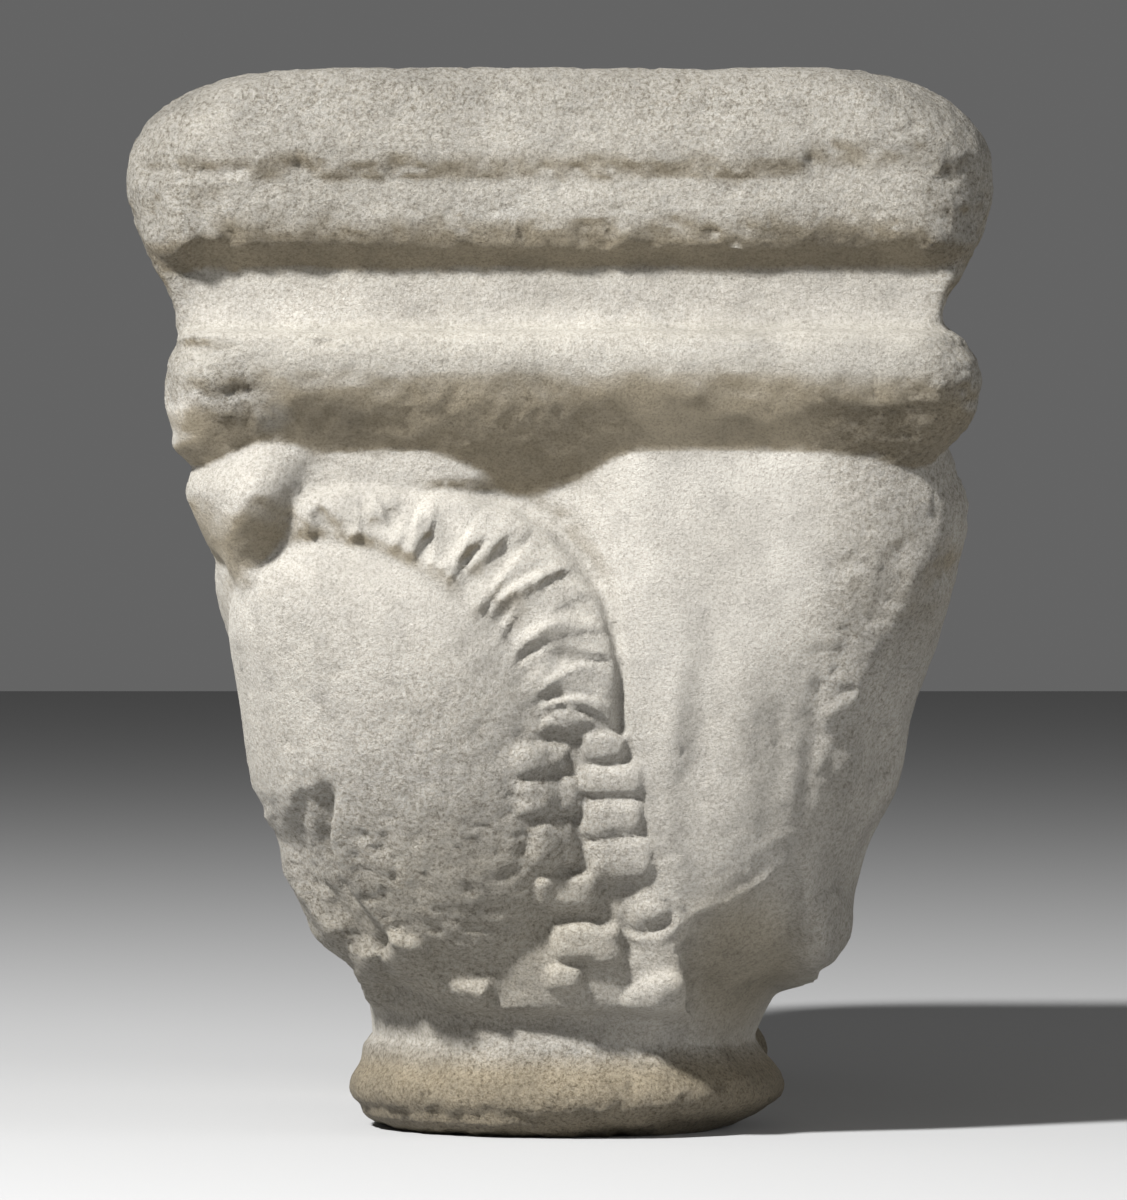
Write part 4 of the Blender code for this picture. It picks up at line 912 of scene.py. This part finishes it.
def marble_material():
    """Grey-white crystalline marble with a warm, worn skin."""
    material = bpy.data.materials.new("weathered_marble")
    material.use_nodes = True
    nodes = material.node_tree.nodes
    links = material.node_tree.links
    shader = nodes["Principled BSDF"]
    where = nodes.new("ShaderNodeTexCoord")

    def noise(scale, layers, grain, seed):
        shift = nodes.new("ShaderNodeVectorMath")
        shift.operation = "ADD"
        shift.inputs[1].default_value = (seed, 0.37 * seed, 0.71 * seed)
        links.new(where.outputs["Object"], shift.inputs[0])
        node = nodes.new("ShaderNodeTexNoise")
        node.inputs["Scale"].default_value = scale
        node.inputs["Detail"].default_value = layers
        node.inputs["Roughness"].default_value = grain
        links.new(shift.outputs["Vector"], node.inputs["Vector"])
        return node.outputs["Fac"]

    def ramp(source, stops):
        node = nodes.new("ShaderNodeValToRGB")
        while len(node.color_ramp.elements) < len(stops):
            node.color_ramp.elements.new(0.5)
        for element, (share, colour) in zip(node.color_ramp.elements, stops):
            element.position = share
            element.color = colour + (1.0,)
        links.new(source, node.inputs["Fac"])
        return node.outputs["Color"]

    def multiply(amount, first, second):
        node = nodes.new("ShaderNodeMix")
        node.data_type = "RGBA"
        node.blend_type = "MULTIPLY"
        if isinstance(amount, float):
            node.inputs["Factor"].default_value = amount
        else:
            links.new(amount, node.inputs["Factor"])
        links.new(first, node.inputs["A"])
        links.new(second, node.inputs["B"])
        return node.outputs["Result"]

    def attribute(name, output):
        node = nodes.new("ShaderNodeAttribute")
        node.attribute_name = name
        return node.outputs[output]

    wear = attribute("wear", "Fac")
    tone = ramp(noise(*TONE_NOISE), TONE_STOPS)
    colour = multiply(VEIN_SHARE, tone, ramp(noise(*VEIN_NOISE), VEIN_STOPS))
    colour = multiply(CRYSTAL_SHARE, colour, ramp(noise(*CRYSTAL_NOISE), CRYSTAL_STOPS))
    colour = multiply(wear, colour, ramp(noise(*DIRT_NOISE), DIRT_STOPS))
    # The stain colour holds real stains and painted shade together
    colour = multiply(1.0, colour, attribute("stain_and_shade", "Color"))
    links.new(colour, shader.inputs["Base Color"])
    shader.inputs["Roughness"].default_value = MARBLE_ROUGHNESS
    fine = nodes.new("ShaderNodeBump")
    fine.inputs["Strength"].default_value = 1.0
    fine.inputs["Distance"].default_value = FINE_GRAIN
    links.new(noise(*FINE_NOISE), fine.inputs["Height"])
    coarse = nodes.new("ShaderNodeBump")
    coarse.inputs["Distance"].default_value = COARSE_GRAIN
    links.new(wear, coarse.inputs["Strength"])
    links.new(noise(*COARSE_NOISE), coarse.inputs["Height"])
    links.new(fine.outputs["Normal"], coarse.inputs["Normal"])
    links.new(coarse.outputs["Normal"], shader.inputs["Normal"])
    return material


def stage():
    """Pale floor, soft key from the upper left, weak fill and the camera."""
    scene = bpy.context.scene
    far = FLOOR_REACH
    corners = [(-far, -far, 0), (far, -far, 0), (far, far, 0), (-far, far, 0)]
    floor_mesh = bpy.data.meshes.new("floor")
    floor_mesh.from_pydata(corners, [], [(0, 1, 2, 3)])
    floor = bpy.data.objects.new("floor", floor_mesh)
    scene.collection.objects.link(floor)
    paint = bpy.data.materials.new("floor_paint")
    paint.use_nodes = True
    paint_shader = paint.node_tree.nodes["Principled BSDF"]
    paint_shader.inputs["Base Color"].default_value = FLOOR_GREY
    paint_shader.inputs["Roughness"].default_value = 0.9
    floor_mesh.materials.append(paint)
    world = bpy.data.worlds.new("studio")
    scene.world = world
    world.use_nodes = True
    room = world.node_tree.nodes["Background"]
    room.inputs["Color"].default_value = ROOM_GREY
    room.inputs["Strength"].default_value = ROOM_STRENGTH
    scene.view_settings.view_transform = "Standard"
    for name, lamp_place, size, power in LAMPS:
        lamp = bpy.data.lights.new(name, "AREA")
        lamp.size = size
        lamp.energy = power
        thing = bpy.data.objects.new(name, lamp)
        scene.collection.objects.link(thing)
        thing.location = lamp_place
        aim = LAMP_AIM - np.array(lamp_place)
        thing.rotation_euler = (math.atan2(math.hypot(aim[0], aim[1]), -aim[2]), 0.0,
                                math.atan2(aim[1], aim[0]) - math.pi / 2)
    lens = bpy.data.cameras.new("camera")
    lens.lens = FOCAL_LENGTH
    lens.sensor_width = SENSOR_WIDTH
    camera = bpy.data.objects.new("camera", lens)
    camera.location = CAMERA_PLACE
    camera.rotation_euler = (math.pi / 2, 0.0, 0.0)
    scene.collection.objects.link(camera)
    scene.camera = camera


stone = build_stone()
stone.data.materials.append(marble_material())
for face in stone.data.polygons:
    face.use_smooth = True
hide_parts("double_capital")
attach(stone, "root")
stage()
